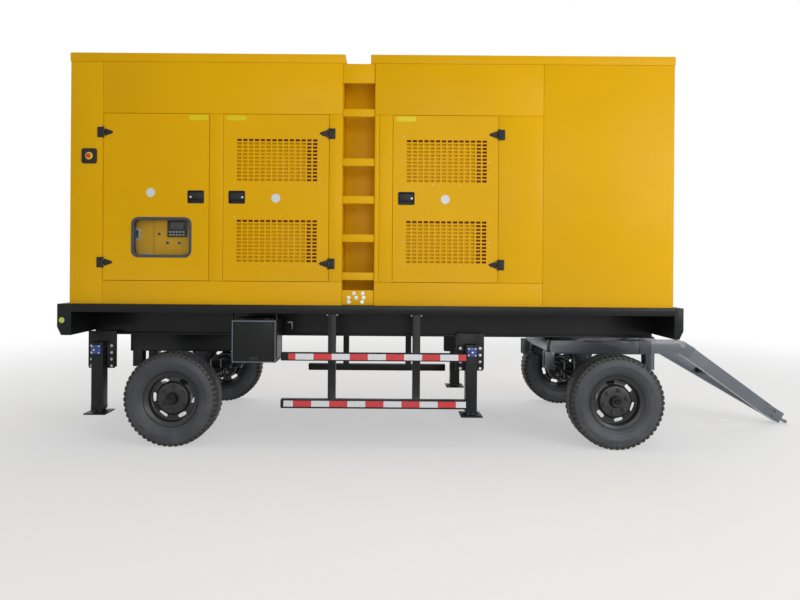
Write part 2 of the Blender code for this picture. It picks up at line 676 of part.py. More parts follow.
def toolbox():
    rear, front = (along(edge) for edge in TOOLBOX_AT)
    low, high = TOOLBOX_Z
    face = WIDTH / 2 - TOOLBOX_INSET
    mouth, back = face - TOOLBOX_DOOR - GAP, BEAM_OUTER + 0.050
    body = part("toolbox_body", block((rear, front), (-mouth, -back), (low, high)), "black")
    sheet, width = TOOLBOX_STRAP
    strap_y = (-mouth + 0.002, -mouth + 0.002 + width)
    join(body, together([block(span, strap_y, (low + 0.035, DECK_TOP - RAIL_DEPTH - GAP))
                         for span in ((rear - sheet, rear + 0.002), (front - 0.002, front + sheet))]))
    wall = TOOLBOX_WALL
    cut(body, block((rear + wall, front - wall), (-mouth - 0.01, -back - wall), (low + wall, high - wall)))
    pin_y, pin_z = -face + TOOLBOX_DOOR / 2, high + TOOLBOX_PIN_UP
    ends = (rear + 0.030, front - 0.030)
    join(body, together([block((x - 0.006, x + 0.006), (pin_y - 0.004, -mouth + 0.030),
                               (high - 0.003, pin_z + 0.003)) for x in ends]),
         rod((ends[0], pin_y, pin_z), (ends[1], pin_y, pin_z), TOOLBOX_PIN, 8))
    door = part("toolbox_door", block((rear, front), (-face, -face + TOOLBOX_DOOR), (low, high - 0.003)),
                "black", ((rear + front) / 2, pin_y, pin_z))
    cut(door, together([block((x - 0.008, x + 0.008), (-face - 0.01, -face + TOOLBOX_DOOR + 0.01),
                              (high - 0.006, high + 0.02)) for x in ends]))
    spans = [(ends[0] + 0.020, ends[0] + 0.070), (ends[1] - 0.070, ends[1] - 0.020)]
    join(door, together([rod((a, pin_y, pin_z), (b, pin_y, pin_z), TOOLBOX_KNUCKLE) for a, b in spans]),
         together([block((a + 0.001, b - 0.001), (pin_y - 0.003, pin_y + 0.003), (high - 0.010, pin_z))
                   for a, b in spans]))
    cut(door, together([rod((a - 0.01, pin_y, pin_z), (b + 0.01, pin_y, pin_z), TOOLBOX_PIN + 0.0007)
                        for a, b in spans]))
    carry(door, body)


# Canopy

def door_edges(rear_edge):
    return along(rear_edge), along(rear_edge + DOOR_WIDTH)


def hinge_place(rear_edge, hinge_edge):
    """X of the pin, and the direction from the pin into the door."""
    rear, front = door_edges(rear_edge)
    if hinge_edge == "rear":
        return rear - DOOR_GAP / 2, 1
    return front + DOOR_GAP / 2, -1


def hinge_heights():
    return DOOR_BOTTOM + HINGE_UP, DOOR_TOP - HINGE_DOWN


def add_frame_hinges(panel, side, rear_edge, hinge_edge):
    x, way = hinge_place(rear_edge, hinge_edge)
    near, far, thick = HINGE_LEAF
    y = side * (CANOPY_HALF + HINGE_OUT)
    half = HINGE_HEIGHT / 2
    leaf_y = both_sides(side, CANOPY_HALF - 0.002, CANOPY_HALF + thick)
    bridge_y = both_sides(side, CANOPY_HALF + 0.002, CANOPY_HALF + thick - 0.0005)
    heights = hinge_heights()
    join(panel, together([block((x - way * near, x - way * far), leaf_y, (z - half, z + half))
                          for z in heights]))
    join(panel, together([block((x - way * (near + 0.002), x), bridge_y,
                                (z - KNUCKLE_SPLIT + 0.001, z + KNUCKLE_SPLIT - 0.001)) for z in heights]))
    join(panel, together([rod((x, y, z - KNUCKLE_SPLIT), (x, y, z + KNUCKLE_SPLIT), KNUCKLE_RADIUS)
                          for z in heights]))
    join(panel, together([rod((x, y, z - half), (x, y, z + half), DOOR_PIN, 8) for z in heights]))


def add_door_hinges(door, side, rear_edge, hinge_edge):
    x, way = hinge_place(rear_edge, hinge_edge)
    near, far, thick = HINGE_LEAF
    y = side * (CANOPY_HALF + HINGE_OUT)
    half = HINGE_HEIGHT / 2
    split = KNUCKLE_SPLIT + GAP
    leaf_y = both_sides(side, CANOPY_HALF - 0.002, CANOPY_HALF + thick)
    bridge_y = both_sides(side, CANOPY_HALF + 0.002, CANOPY_HALF + thick - 0.0005)
    heights = hinge_heights()
    spans = [(z + low, z + high) for z in heights for low, high in ((-half, -split), (split, half))]
    join(door, together([block((x + way * near, x + way * far), leaf_y, (z - half, z + half))
                         for z in heights]))
    join(door, together([block((x, x + way * (near + 0.002)), bridge_y, (a + 0.001, b - 0.001))
                         for a, b in spans]))
    join(door, together([rod((x, y, a), (x, y, b), KNUCKLE_RADIUS) for a, b in spans]))
    cut(door, together([rod((x, y, z - half - 0.01), (x, y, z + half + 0.01), DOOR_PIN + 0.0006)
                        for z in heights]))


def canopy_side(name, side, start, end):
    outer, inner = side * CANOPY_HALF, side * (CANOPY_HALF - PANEL)
    panel = part(name, block((along(start), along(end)), (outer, inner),
                             (CANOPY_BOTTOM, CANOPY_TOP)), "yellow")
    for door, door_side, rear_edge, hinge_edge, fitting in DOORS:
        if door_side != side or not start < rear_edge < end:
            continue
        rear, front = door_edges(rear_edge)
        cut(panel, block((rear - DOOR_GAP, front + DOOR_GAP), (outer + side * 0.05, inner - side * 0.05),
                         (DOOR_BOTTOM - DOOR_GAP, DOOR_TOP + DOOR_GAP)))
        add_frame_hinges(panel, side, rear_edge, hinge_edge)
    return panel


def lock_place(rear_edge, hinge_edge):
    """Middle of the lock, near the edge away from the hinges."""
    rear, front = door_edges(rear_edge)
    return front - LOCK_IN if hinge_edge == "rear" else rear + LOCK_IN + DOOR_GAP


def door(name, side, rear_edge, hinge_edge, fitting, panel):
    rear, front = door_edges(rear_edge)
    outer, inner = side * CANOPY_HALF, side * (CANOPY_HALF - PANEL)
    pin, way = hinge_place(rear_edge, hinge_edge)
    origin = (pin, side * (CANOPY_HALF + HINGE_OUT), DOOR_BOTTOM)
    leaf = part(name, block((rear, front), (outer, inner), (DOOR_BOTTOM, DOOR_TOP)), "yellow", origin)
    through = (outer + side * 0.05, inner - side * 0.05)
    if fitting == "window":
        cut(leaf, block((rear + WINDOW_SIDES[0], front - WINDOW_SIDES[1]), through, window_heights()))
    else:
        cut(leaf, grille_slots(pin + way * (GRILLE_SIDES[0] + DOOR_GAP / 2), way, through))
    x = lock_place(rear_edge, hinge_edge)
    width, height, depth = LOCK_POCKET
    pocket_top = DOOR_MIDDLE + height / 2
    cut(leaf, block((x - width / 2, x + width / 2), (outer + side * 0.05, outer - side * depth),
                    (pocket_top - height, pocket_top)))
    add_door_hinges(leaf, side, rear_edge, hinge_edge)
    carry(leaf, panel)
    down, deep = PADDLE_ROD_IN
    rod_y, rod_z = side * (CANOPY_HALF - deep), pocket_top - down
    long, tall, thick = PADDLE
    paddle = part("handle_" + name, block((x - long / 2, x + long / 2),
                                          (rod_y - thick / 2, rod_y + thick / 2), (rod_z, rod_z - tall)),
                  "plastic", (x, rod_y, rod_z))
    reach = width / 2 - GAP
    join(paddle, rod((x - reach, rod_y, rod_z), (x + reach, rod_y, rod_z), PADDLE_ROD))
    carry(paddle, leaf)
    return leaf


def window_heights():
    return DOOR_BOTTOM + WINDOW_UP, DOOR_MIDDLE - WINDOW_BELOW_MIDDLE


def grille_slots(start, way, through):
    pitch = GRILLE_HEIGHT / GRILLE_SLOTS
    width = DOOR_WIDTH - sum(GRILLE_SIDES)
    slots = []
    for bottom in (DOOR_BOTTOM + GRILLE_MARGINS[0], DOOR_TOP - GRILLE_MARGINS[2] - GRILLE_HEIGHT):
        for number in range(GRILLE_SLOTS):
            z = bottom + pitch * number
            slots.append(block((start, start + way * width), through, (z, z + pitch * SLOT_SHARE)))
    return together(slots)


def window_pane(leaf):
    rear, front = door_edges(DOORS[0][2])
    low, high = window_heights()
    thick, deep = PANE
    y = -(CANOPY_HALF - deep)
    pane = part("window_pane", block((rear + WINDOW_SIDES[0] + GAP, front - WINDOW_SIDES[1] - GAP),
                                     (y, y + thick), (low + GAP, high - GAP)), "glass")
    carry(pane, leaf)


def emergency_stop(panel):
    x, z = along(E_STOP_AT[0]), DECK_TOP + E_STOP_AT[1]
    size, proud = E_STOP_PLATE
    face = -(CANOPY_HALF + proud)
    join(panel, block((x - size / 2, x + size / 2), (face, -CANOPY_HALF + BITE / 2),
                      (z - size / 2, z + size / 2)))
    cut(panel, rod((x, face - 0.01, z), (x, -CANOPY_HALF + PANEL + 0.01, z), E_STOP_STEM + 0.0006, 16))
    radius, gap, thick = E_STOP_HEAD
    tail = proud + PANEL + 0.012
    profile = [(0, thick), (radius * 0.7, thick), (radius, thick * 0.6), (radius, 0), (E_STOP_STEM, 0),
               (E_STOP_STEM, -gap - tail), (0, -gap - tail)]
    button = turned("e_stop_button", profile, "red", (x, face - gap, z), (math.radians(90), 0, 0), 16)
    carry(button, panel)


def ladder_recess():
    side = -1
    rear, front = along(RECESS_AT), along(RECESS_END)
    left, right = RECESS_WALLS
    back = CANOPY_HALF - RECESS_DEPTH
    face = both_sides(side, CANOPY_HALF, back - left)
    height = (CANOPY_BOTTOM, CANOPY_TOP)
    item = part("ladder_recess", block((rear - left, front + right), face, height), "yellow")
    cut(item, block((rear, front), both_sides(side, CANOPY_HALF + 0.05, back), (DECK_TOP - 0.1, HEIGHT)))
    span = (rear - BITE, front + BITE)
    bar_y = both_sides(side, CANOPY_HALF - 0.010, CANOPY_HALF - 0.010 - RUNG_SHEET)
    bars = [(CANOPY_BOTTOM + 0.004, DECK_TOP + STEP_PLATE_HEIGHT)]
    for up in RUNG_HEIGHTS:
        bars.append((DECK_TOP + up - RUNG_HEIGHT / 2, DECK_TOP + up + RUNG_HEIGHT / 2))
    bars.append((ROOF_SEAM - HEADER_DEPTH, CANOPY_TOP - 0.001))
    join(item, together([block(span, bar_y, bar) for bar in bars]))


def roofs():
    half = CANOPY_HALF + 0.001
    back = -(CANOPY_HALF - RECESS_DEPTH)
    rear = part("rear_roof", block((along(CANOPY_REAR - ROOF_OVERHANG), along(RECESS_END) - GAP),
                                   (-half, half), (ROOF_SEAM, HEIGHT)), "yellow")
    cut(rear, block((along(RECESS_AT), along(RECESS_END) + 0.05), (-half - 0.05, back),
                    (ROOF_SEAM - 0.05, HEIGHT + 0.05)))
    part("front_roof", block((along(RECESS_END), along(CANOPY_FRONT + ROOF_OVERHANG)),
                             (-half, half), (ROOF_SEAM, HEIGHT)), "yellow")


def end_panels():
    half = CANOPY_HALF - PANEL - GAP
    height = (CANOPY_BOTTOM, CANOPY_TOP)
    part("rear_end_panel", block((along(CANOPY_REAR), along(CANOPY_REAR) + PANEL), (-half, half),
                                 height), "yellow")
    front = part("front_end_panel", block((along(CANOPY_FRONT) - PANEL, along(CANOPY_FRONT)), (-half, half),
                                          height), "yellow")
    wide, tall, count = OUTLET
    wide, tall = min(wide, 1.6 * half), min(tall, 0.65 * (CANOPY_TOP - CANOPY_BOTTOM))
    pitch = tall / count
    low = (CANOPY_BOTTOM + CANOPY_TOP - tall) / 2
    cut(front, together([block((along(CANOPY_FRONT) - 2 * PANEL, along(CANOPY_FRONT) + PANEL),
                               (-wide / 2, wide / 2), (low + pitch * n, low + pitch * (n + 0.6)))
                         for n in range(count)]))


def canopy():
    left, right = RECESS_WALLS
    panels = {
        (-1, "rear"): canopy_side("rear_side_right", -1, CANOPY_REAR, RECESS_AT - left - GAP),
        (-1, "front"): canopy_side("front_side_right", -1, RECESS_END + right + GAP, CANOPY_FRONT),
        (1, "rear"): canopy_side("rear_side_left", 1, CANOPY_REAR, RECESS_END - GAP),
        (1, "front"): canopy_side("front_side_left", 1, RECESS_END, CANOPY_FRONT),
    }
    for name, side, rear_edge, hinge_edge, fitting in DOORS:
        half = "rear" if rear_edge < RECESS_AT else "front"
        leaf = door(name, side, rear_edge, hinge_edge, fitting, panels[side, half])
        if fitting == "window":
            window_pane(leaf)
    emergency_stop(panels[-1, "rear"])
    ladder_recess()
    roofs()
    end_panels()


# Generator set

def generator_set():
    start, end, half, _ = BASE
    part("base_fuel_tank", block((along(start), along(end)), (-half, half),
                                 (CANOPY_BOTTOM, BASE_TOP)), "black")
    rear, front, inset, depth, tall = CABINET
    face = CANOPY_HALF - PANEL - inset
    part("control_cabinet", block((along(rear), along(front)), (-face, -face + depth),
                                  (CANOPY_BOTTOM, CANOPY_BOTTOM + tall)), "yellow")
    rear, front, radius = ALTERNATOR
    machine = part("alternator", rod((along(rear), 0, SHAFT_Z), (along(front), 0, SHAFT_Z), radius, 20),
                   "cast")
    feet = (BASE_TOP + GAP, SHAFT_Z - radius * 0.6)
    foot = (along(rear) + 0.08, along(front) - 0.08)
    join(machine, together([block(foot, both_sides(side, 0.18, 0.30), feet) for side in (-1, 1)]))
    top = SHAFT_Z + radius
    join(machine, block((along(rear) + 0.10, along(front) - 0.20), (-0.20, 0.20), (top - 0.06, top + 0.22)))
    engine(front)
    fan()
    rear, front, half, below_roof = RADIATOR
    part("radiator", block((along(rear), along(front)), (-half, half),
                           (CANOPY_BOTTOM, CANOPY_TOP - below_roof)), "core")


def engine(start):
    rear, front = along(start) + GAP, along(ENGINE_END)
    low, high = BASE_TOP + GAP, DECK_TOP + ENGINE_UP
    item = part("engine", block((rear, rear + 0.16), (-0.31, 0.31), (SHAFT_Z - 0.31, SHAFT_Z + 0.31)), "cast")
    join(item, block((rear + 0.10, front), (-ENGINE_HALF, ENGINE_HALF), (low + 0.15, high)))
    join(item, block((rear + 0.20, front - 0.08), (-0.24, 0.24), (high - 0.02, high + 0.16)))
    join(item, together([block((x, x + 0.12), (-0.38, 0.38), (low, low + 0.20))
                         for x in (rear + 0.25, front - 0.30)]))
    shaft_z = DECK_TOP + FAN_UP
    join(item, rod((front - 0.02, 0, shaft_z), (along(FAN_AT + FAN_WIDTH), 0, shaft_z), FAN_SHAFT))


def fan():
    x, z = along(FAN_AT), DECK_TOP + FAN_UP
    middle = Vector((x + FAN_WIDTH / 2, 0, z))
    item = part("fan", rod((x, 0, z), (x + FAN_WIDTH, 0, z), 0.08, 16), "plastic", middle)
    blades = []
    for number in range(FAN_BLADES):
        blade = block((-0.004, 0.004), (-0.045, 0.045), (0.070, FAN_RADIUS))
        place = Matrix.Translation(middle) @ Matrix.Rotation(math.tau * number / FAN_BLADES, 4, "X")
        place = place @ Matrix.Rotation(math.radians(28), 4, "Z")
        bmesh.ops.transform(blade, matrix=place, verts=blade.verts)
        blades.append(blade)
    join(item, together(blades))
    cut(item, rod((x - 0.05, 0, z), (x + FAN_WIDTH + 0.05, 0, z), FAN_SHAFT + 0.0009))


deck_frame()
main_beam("main_beam_right", -1)
main_beam("main_beam_left", 1)
drawbar(running_gear())
for jack in JACKS:
    landing_jack(*jack)
side_guard("side_guard_right", -1)
side_guard("side_guard_left", 1)
toolbox()
canopy()
generator_set()
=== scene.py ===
import bpy
import bmesh
import math
import json
from mathutils import Matrix, Vector


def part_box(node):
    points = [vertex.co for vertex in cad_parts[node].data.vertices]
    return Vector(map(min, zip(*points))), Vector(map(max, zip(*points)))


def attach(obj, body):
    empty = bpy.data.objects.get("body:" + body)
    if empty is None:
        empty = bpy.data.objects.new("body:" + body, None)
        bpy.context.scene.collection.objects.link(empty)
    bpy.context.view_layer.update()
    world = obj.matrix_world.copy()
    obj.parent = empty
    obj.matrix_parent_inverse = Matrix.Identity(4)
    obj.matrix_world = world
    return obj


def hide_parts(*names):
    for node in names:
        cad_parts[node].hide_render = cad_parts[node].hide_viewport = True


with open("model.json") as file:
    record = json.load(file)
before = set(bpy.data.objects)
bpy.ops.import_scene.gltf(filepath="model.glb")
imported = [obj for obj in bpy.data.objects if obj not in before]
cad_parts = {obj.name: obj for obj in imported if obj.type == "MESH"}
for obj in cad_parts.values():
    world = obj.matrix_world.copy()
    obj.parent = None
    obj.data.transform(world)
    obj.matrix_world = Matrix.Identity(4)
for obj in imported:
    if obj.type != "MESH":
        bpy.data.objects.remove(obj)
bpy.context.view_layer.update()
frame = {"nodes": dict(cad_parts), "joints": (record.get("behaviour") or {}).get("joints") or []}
joints = {joint["name"]: joint for joint in frame["joints"]}


# places read from the frame
def spot(jointName):
    return Vector(joints[jointName]["pos_m"])


def namesAfter(start):
    return [name[len(start):] for name in joints if name.startswith(start)]


panel = 0.040                                   # canopy wall
doorGap = 0.003
canopyHalf = -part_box("rear_side_right")[1].y + panel
nearFace = -canopyHalf
deckLow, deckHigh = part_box("deck_frame")
doorLow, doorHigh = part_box("rear_engine_door_right")
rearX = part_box("rear_end_panel")[0].x
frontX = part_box("front_end_panel")[1].x
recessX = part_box("rear_side_right")[1].x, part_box("front_side_right")[0].x
wallBottom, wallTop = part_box("rear_end_panel")[0].z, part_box("rear_end_panel")[1].z
doorNames = [name[:-6] for name in joints if name.endswith("_swing")]
wheelNames, jackNames = namesAfter("wheel_spin_"), namesAfter("jack_drop_")


# low x, high x, hinge pin x, way from the pin into the door, side
def doorEdges(name):
    pin = spot(name + "_swing")
    low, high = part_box(name)
    side = 1 if pin.y > 0 else -1
    if abs(low.x - pin.x) < 0.05:
        return pin.x + doorGap / 2, high.x, pin.x, 1, side
    return low.x, pin.x - doorGap / 2, pin.x, -1, side


# a colour as the shader reads it, from 0 to 255 values
def tint(*values):
    shares = [value / 255 for value in values]
    return tuple(x / 12.92 if x <= 0.04045 else ((x + 0.055) / 1.055) ** 2.4 for x in shares) + (1.0,)


def addNode(tree, kind, **values):
    node = tree.nodes.new(kind)
    for key, value in values.items():
        setattr(node, key, value)
    return node


# sets each input, by a link where the value is another node's output
def feed(tree, node, inputs):
    for key, value in inputs.items():
        if isinstance(value, bpy.types.NodeSocket):
            tree.links.new(value, node.inputs[key])
        else:
            node.inputs[key].default_value = value
    return node.outputs[0]


def newGroup(name, inputs, outputs):
    group = bpy.data.node_groups.new(name, "ShaderNodeTree")
    for label, value in inputs.items():
        socket = group.interface.new_socket(name=label, in_out="INPUT", socket_type="NodeSocketFloat")
        socket.default_value = value
    for label in outputs:
        group.interface.new_socket(name=label, in_out="OUTPUT", socket_type="NodeSocketFloat")
    where = addNode(group, "ShaderNodeTexCoord").outputs["Object"]
    return group, addNode(group, "NodeGroupInput").outputs, addNode(group, "NodeGroupOutput"), where


def math2(tree, operation, first, second, clamp=False):
    node = addNode(tree, "ShaderNodeMath", operation=operation, use_clamp=clamp)
    return feed(tree, node, {0: first, 1: second})


def noise(tree, vector, scale, detail=4.0, rough=0.55):
    node = addNode(tree, "ShaderNodeTexNoise")
    return feed(tree, node, {"Vector": vector, "Scale": scale, "Detail": detail, "Roughness": rough})


def ramp(tree, value, low, high, start=0.0, end=1.0):
    node = addNode(tree, "ShaderNodeMapRange", clamp=True, interpolation_type="SMOOTHSTEP")
    return feed(
        tree, node, {"Value": value, "From Min": low, "From Max": high, "To Min": start, "To Max": end})


def mixColour(tree, mask, first, second):
    node = addNode(tree, "ShaderNodeMix", data_type="RGBA", blend_type="MIX")
    feed(tree, node, {0: mask, 6: first, 7: second})
    return node.outputs[2]


# dust that settles on upward faces, low down and in broad patches
def buildDustGroup():
    tree, inlet, outlet, where = newGroup("roadDust", {"Amount": 0.3, "Low": 0.0, "High": 1.2,
                                                       "Patch Scale": 3.0, "Top Faces": 0.5}, ("Mask",))
    split = addNode(tree, "ShaderNodeSeparateXYZ")
    feed(tree, split, {0: where})
    falloff = ramp(tree, split.outputs["Z"], inlet["Low"], inlet["High"], 1.0, 0.0)
    patches = ramp(tree, noise(tree, where, inlet["Patch Scale"], 5.0, 0.6), 0.35, 0.72)
    specks = ramp(tree, noise(tree, where, 140.0, 2.0), 0.45, 0.7)
    facing = addNode(tree, "ShaderNodeSeparateXYZ")
    feed(tree, facing, {0: addNode(tree, "ShaderNodeNewGeometry").outputs["Normal"]})
    tops = math2(tree, "MULTIPLY", ramp(tree, facing.outputs["Z"], 0.5, 0.95), inlet["Top Faces"])
    body = math2(tree, "MULTIPLY", falloff, math2(tree, "ADD", math2(tree, "MULTIPLY", patches, 0.75), 0.25))
    body = math2(tree, "ADD", body, tops, True)
    grain = math2(tree, "ADD", math2(tree, "MULTIPLY", specks, 0.35), 0.65)
    body = math2(tree, "MULTIPLY", body, grain)
    tree.links.new(math2(tree, "MULTIPLY", body, inlet["Amount"], True), outlet.inputs["Mask"])
    return tree


# rubbed edges: where a rounded normal leaves the flat one, broken up by noise
def buildWearGroup():
    tree, inlet, outlet, where = newGroup(
        "edgeWear", {"Amount": 0.3, "Width": 0.004, "Break Scale": 40.0}, ("Mask",))
    rounded = addNode(tree, "ShaderNodeBevel", samples=4)
    flat = addNode(tree, "ShaderNodeNewGeometry").outputs["True Normal"]
    dot = addNode(tree, "ShaderNodeVectorMath", operation="DOT_PRODUCT")
    feed(tree, dot, {0: feed(tree, rounded, {"Radius": inlet["Width"]}), 1: flat})
    edge = ramp(tree, dot.outputs["Value"], 0.86, 0.995, 1.0, 0.0)
    broken = ramp(tree, noise(tree, where, inlet["Break Scale"], 5.0, 0.65), 0.50, 0.62)
    mask = math2(tree, "MULTIPLY", edge, broken)
    tree.links.new(math2(tree, "MULTIPLY", mask, inlet["Amount"], True), outlet.inputs["Mask"])
    return tree


# the surface's own unevenness: slow tone drift, orange peel or casting grain, fine scratches
def buildSkinGroup():
    tree, inlet, outlet, where = newGroup("surfaceSkin", {"Tone Scale": 1.5, "Grain Scale": 220.0,
                                                          "Scratches": 0.2}, ("Tone", "Height", "Gloss"))
    grain = noise(tree, where, inlet["Grain Scale"], 2.0, 0.5)
    stretch = addNode(tree, "ShaderNodeMapping")
    drawn = feed(tree, stretch, {"Vector": where, "Scale": (6.0, 6.0, 160.0), "Rotation": (0.3, 0.9, 0.2)})
    lines = ramp(tree, noise(tree, drawn, 4.0, 3.0, 0.7), 0.66, 0.70)
    rub = ramp(tree, noise(tree, where, 2.2, 2.0), 0.5, 0.65)
    lines = math2(tree, "MULTIPLY", math2(tree, "MULTIPLY", lines, rub), inlet["Scratches"])
    smear = noise(tree, where, 5.0, 4.0, 0.6)
    for label, value in (
            ("Tone", noise(tree, where, inlet["Tone Scale"], 3.0)), ("Height",
            math2(tree, "SUBTRACT", grain, lines)), ("Gloss", math2(tree, "ADD", smear, lines))):
        tree.links.new(value, outlet.inputs[label])
    return tree


dustGroup, wearGroup, skinGroup = buildDustGroup(), buildWearGroup(), buildSkinGroup()


def useGroup(tree, group, values):
    node = addNode(tree, "ShaderNodeGroup", node_tree=group)
    feed(tree, node, values)
    return node.outputs


def newMaterial(name):
    material = bpy.data.materials.new(name)
    material.use_nodes = True
    return material, material.node_tree, material.node_tree.nodes["Principled BSDF"]


# one weathered surface: base, tone drift, grain, edge wear and dust
def surface(name, look):
    material, tree, shader = newMaterial(name)
    skin = useGroup(
        tree, skinGroup, {"Tone Scale": look.get("toneScale", 1.3), "Scratches": look.get("scratches", 0.2),
        "Grain Scale": look.get("grainScale", 260.0)})
    base = tint(*look["colour"])
    drift = look["drift"]
    dark, light = (
        tuple(min(1.0, part * change) for part in base[:3]) + (1.0,) for change in (1 - drift, 1 + drift))
    colour = mixColour(tree, ramp(tree, skin["Tone"], 0.3, 0.7), dark, light)
    rough = ramp(tree, skin["Gloss"], 0.2, 0.9, look["rough"] * 0.8, min(1.0, look["rough"] * 1.25))
    layers = []
    if "wear" in look:
        worn = useGroup(tree, wearGroup, {"Amount": look["wear"], "Width": look.get("wearWidth", 0.004)})
        mask = worn["Mask"]
        layers.append((mask, look.get("wearColour", (120, 118, 115)), 0.15))
    if "dust" in look:
        mask = useGroup(
            tree, dustGroup, {"Amount": look["dust"], "Low": look.get("dustLow", 0.1),
            "High": look.get("dustHigh", 1.3), "Top Faces": look.get("dustTops", 0.5),
            "Patch Scale": look.get("dustScale", 3.0)})["Mask"]
        layers.append((mask, look.get("dustColour", (150, 146, 138)), 0.45))
    for mask, layerColour, rougher in layers:
        colour = mixColour(tree, mask, colour, tint(*layerColour))
        rough = math2(tree, "ADD", rough, math2(tree, "MULTIPLY", mask, rougher), True)
    bump = addNode(tree, "ShaderNodeBump")
    normal = feed(tree, bump, {"Strength": look["bump"], "Distance": look.get("bumpDepth", 0.002),
                               "Height": skin["Height"]})
    feed(tree, shader, {"Base Color": colour, "Roughness": rough, "Metallic": look.get("metal", 0.0),
                        "Specular IOR Level": look.get("spec", 0.5), "Normal": normal})
    if "coat" in look:
        feed(tree, shader, {"Coat Weight": look["coat"], "Coat Roughness": look.get("coatRough", 0.12)})
    return material


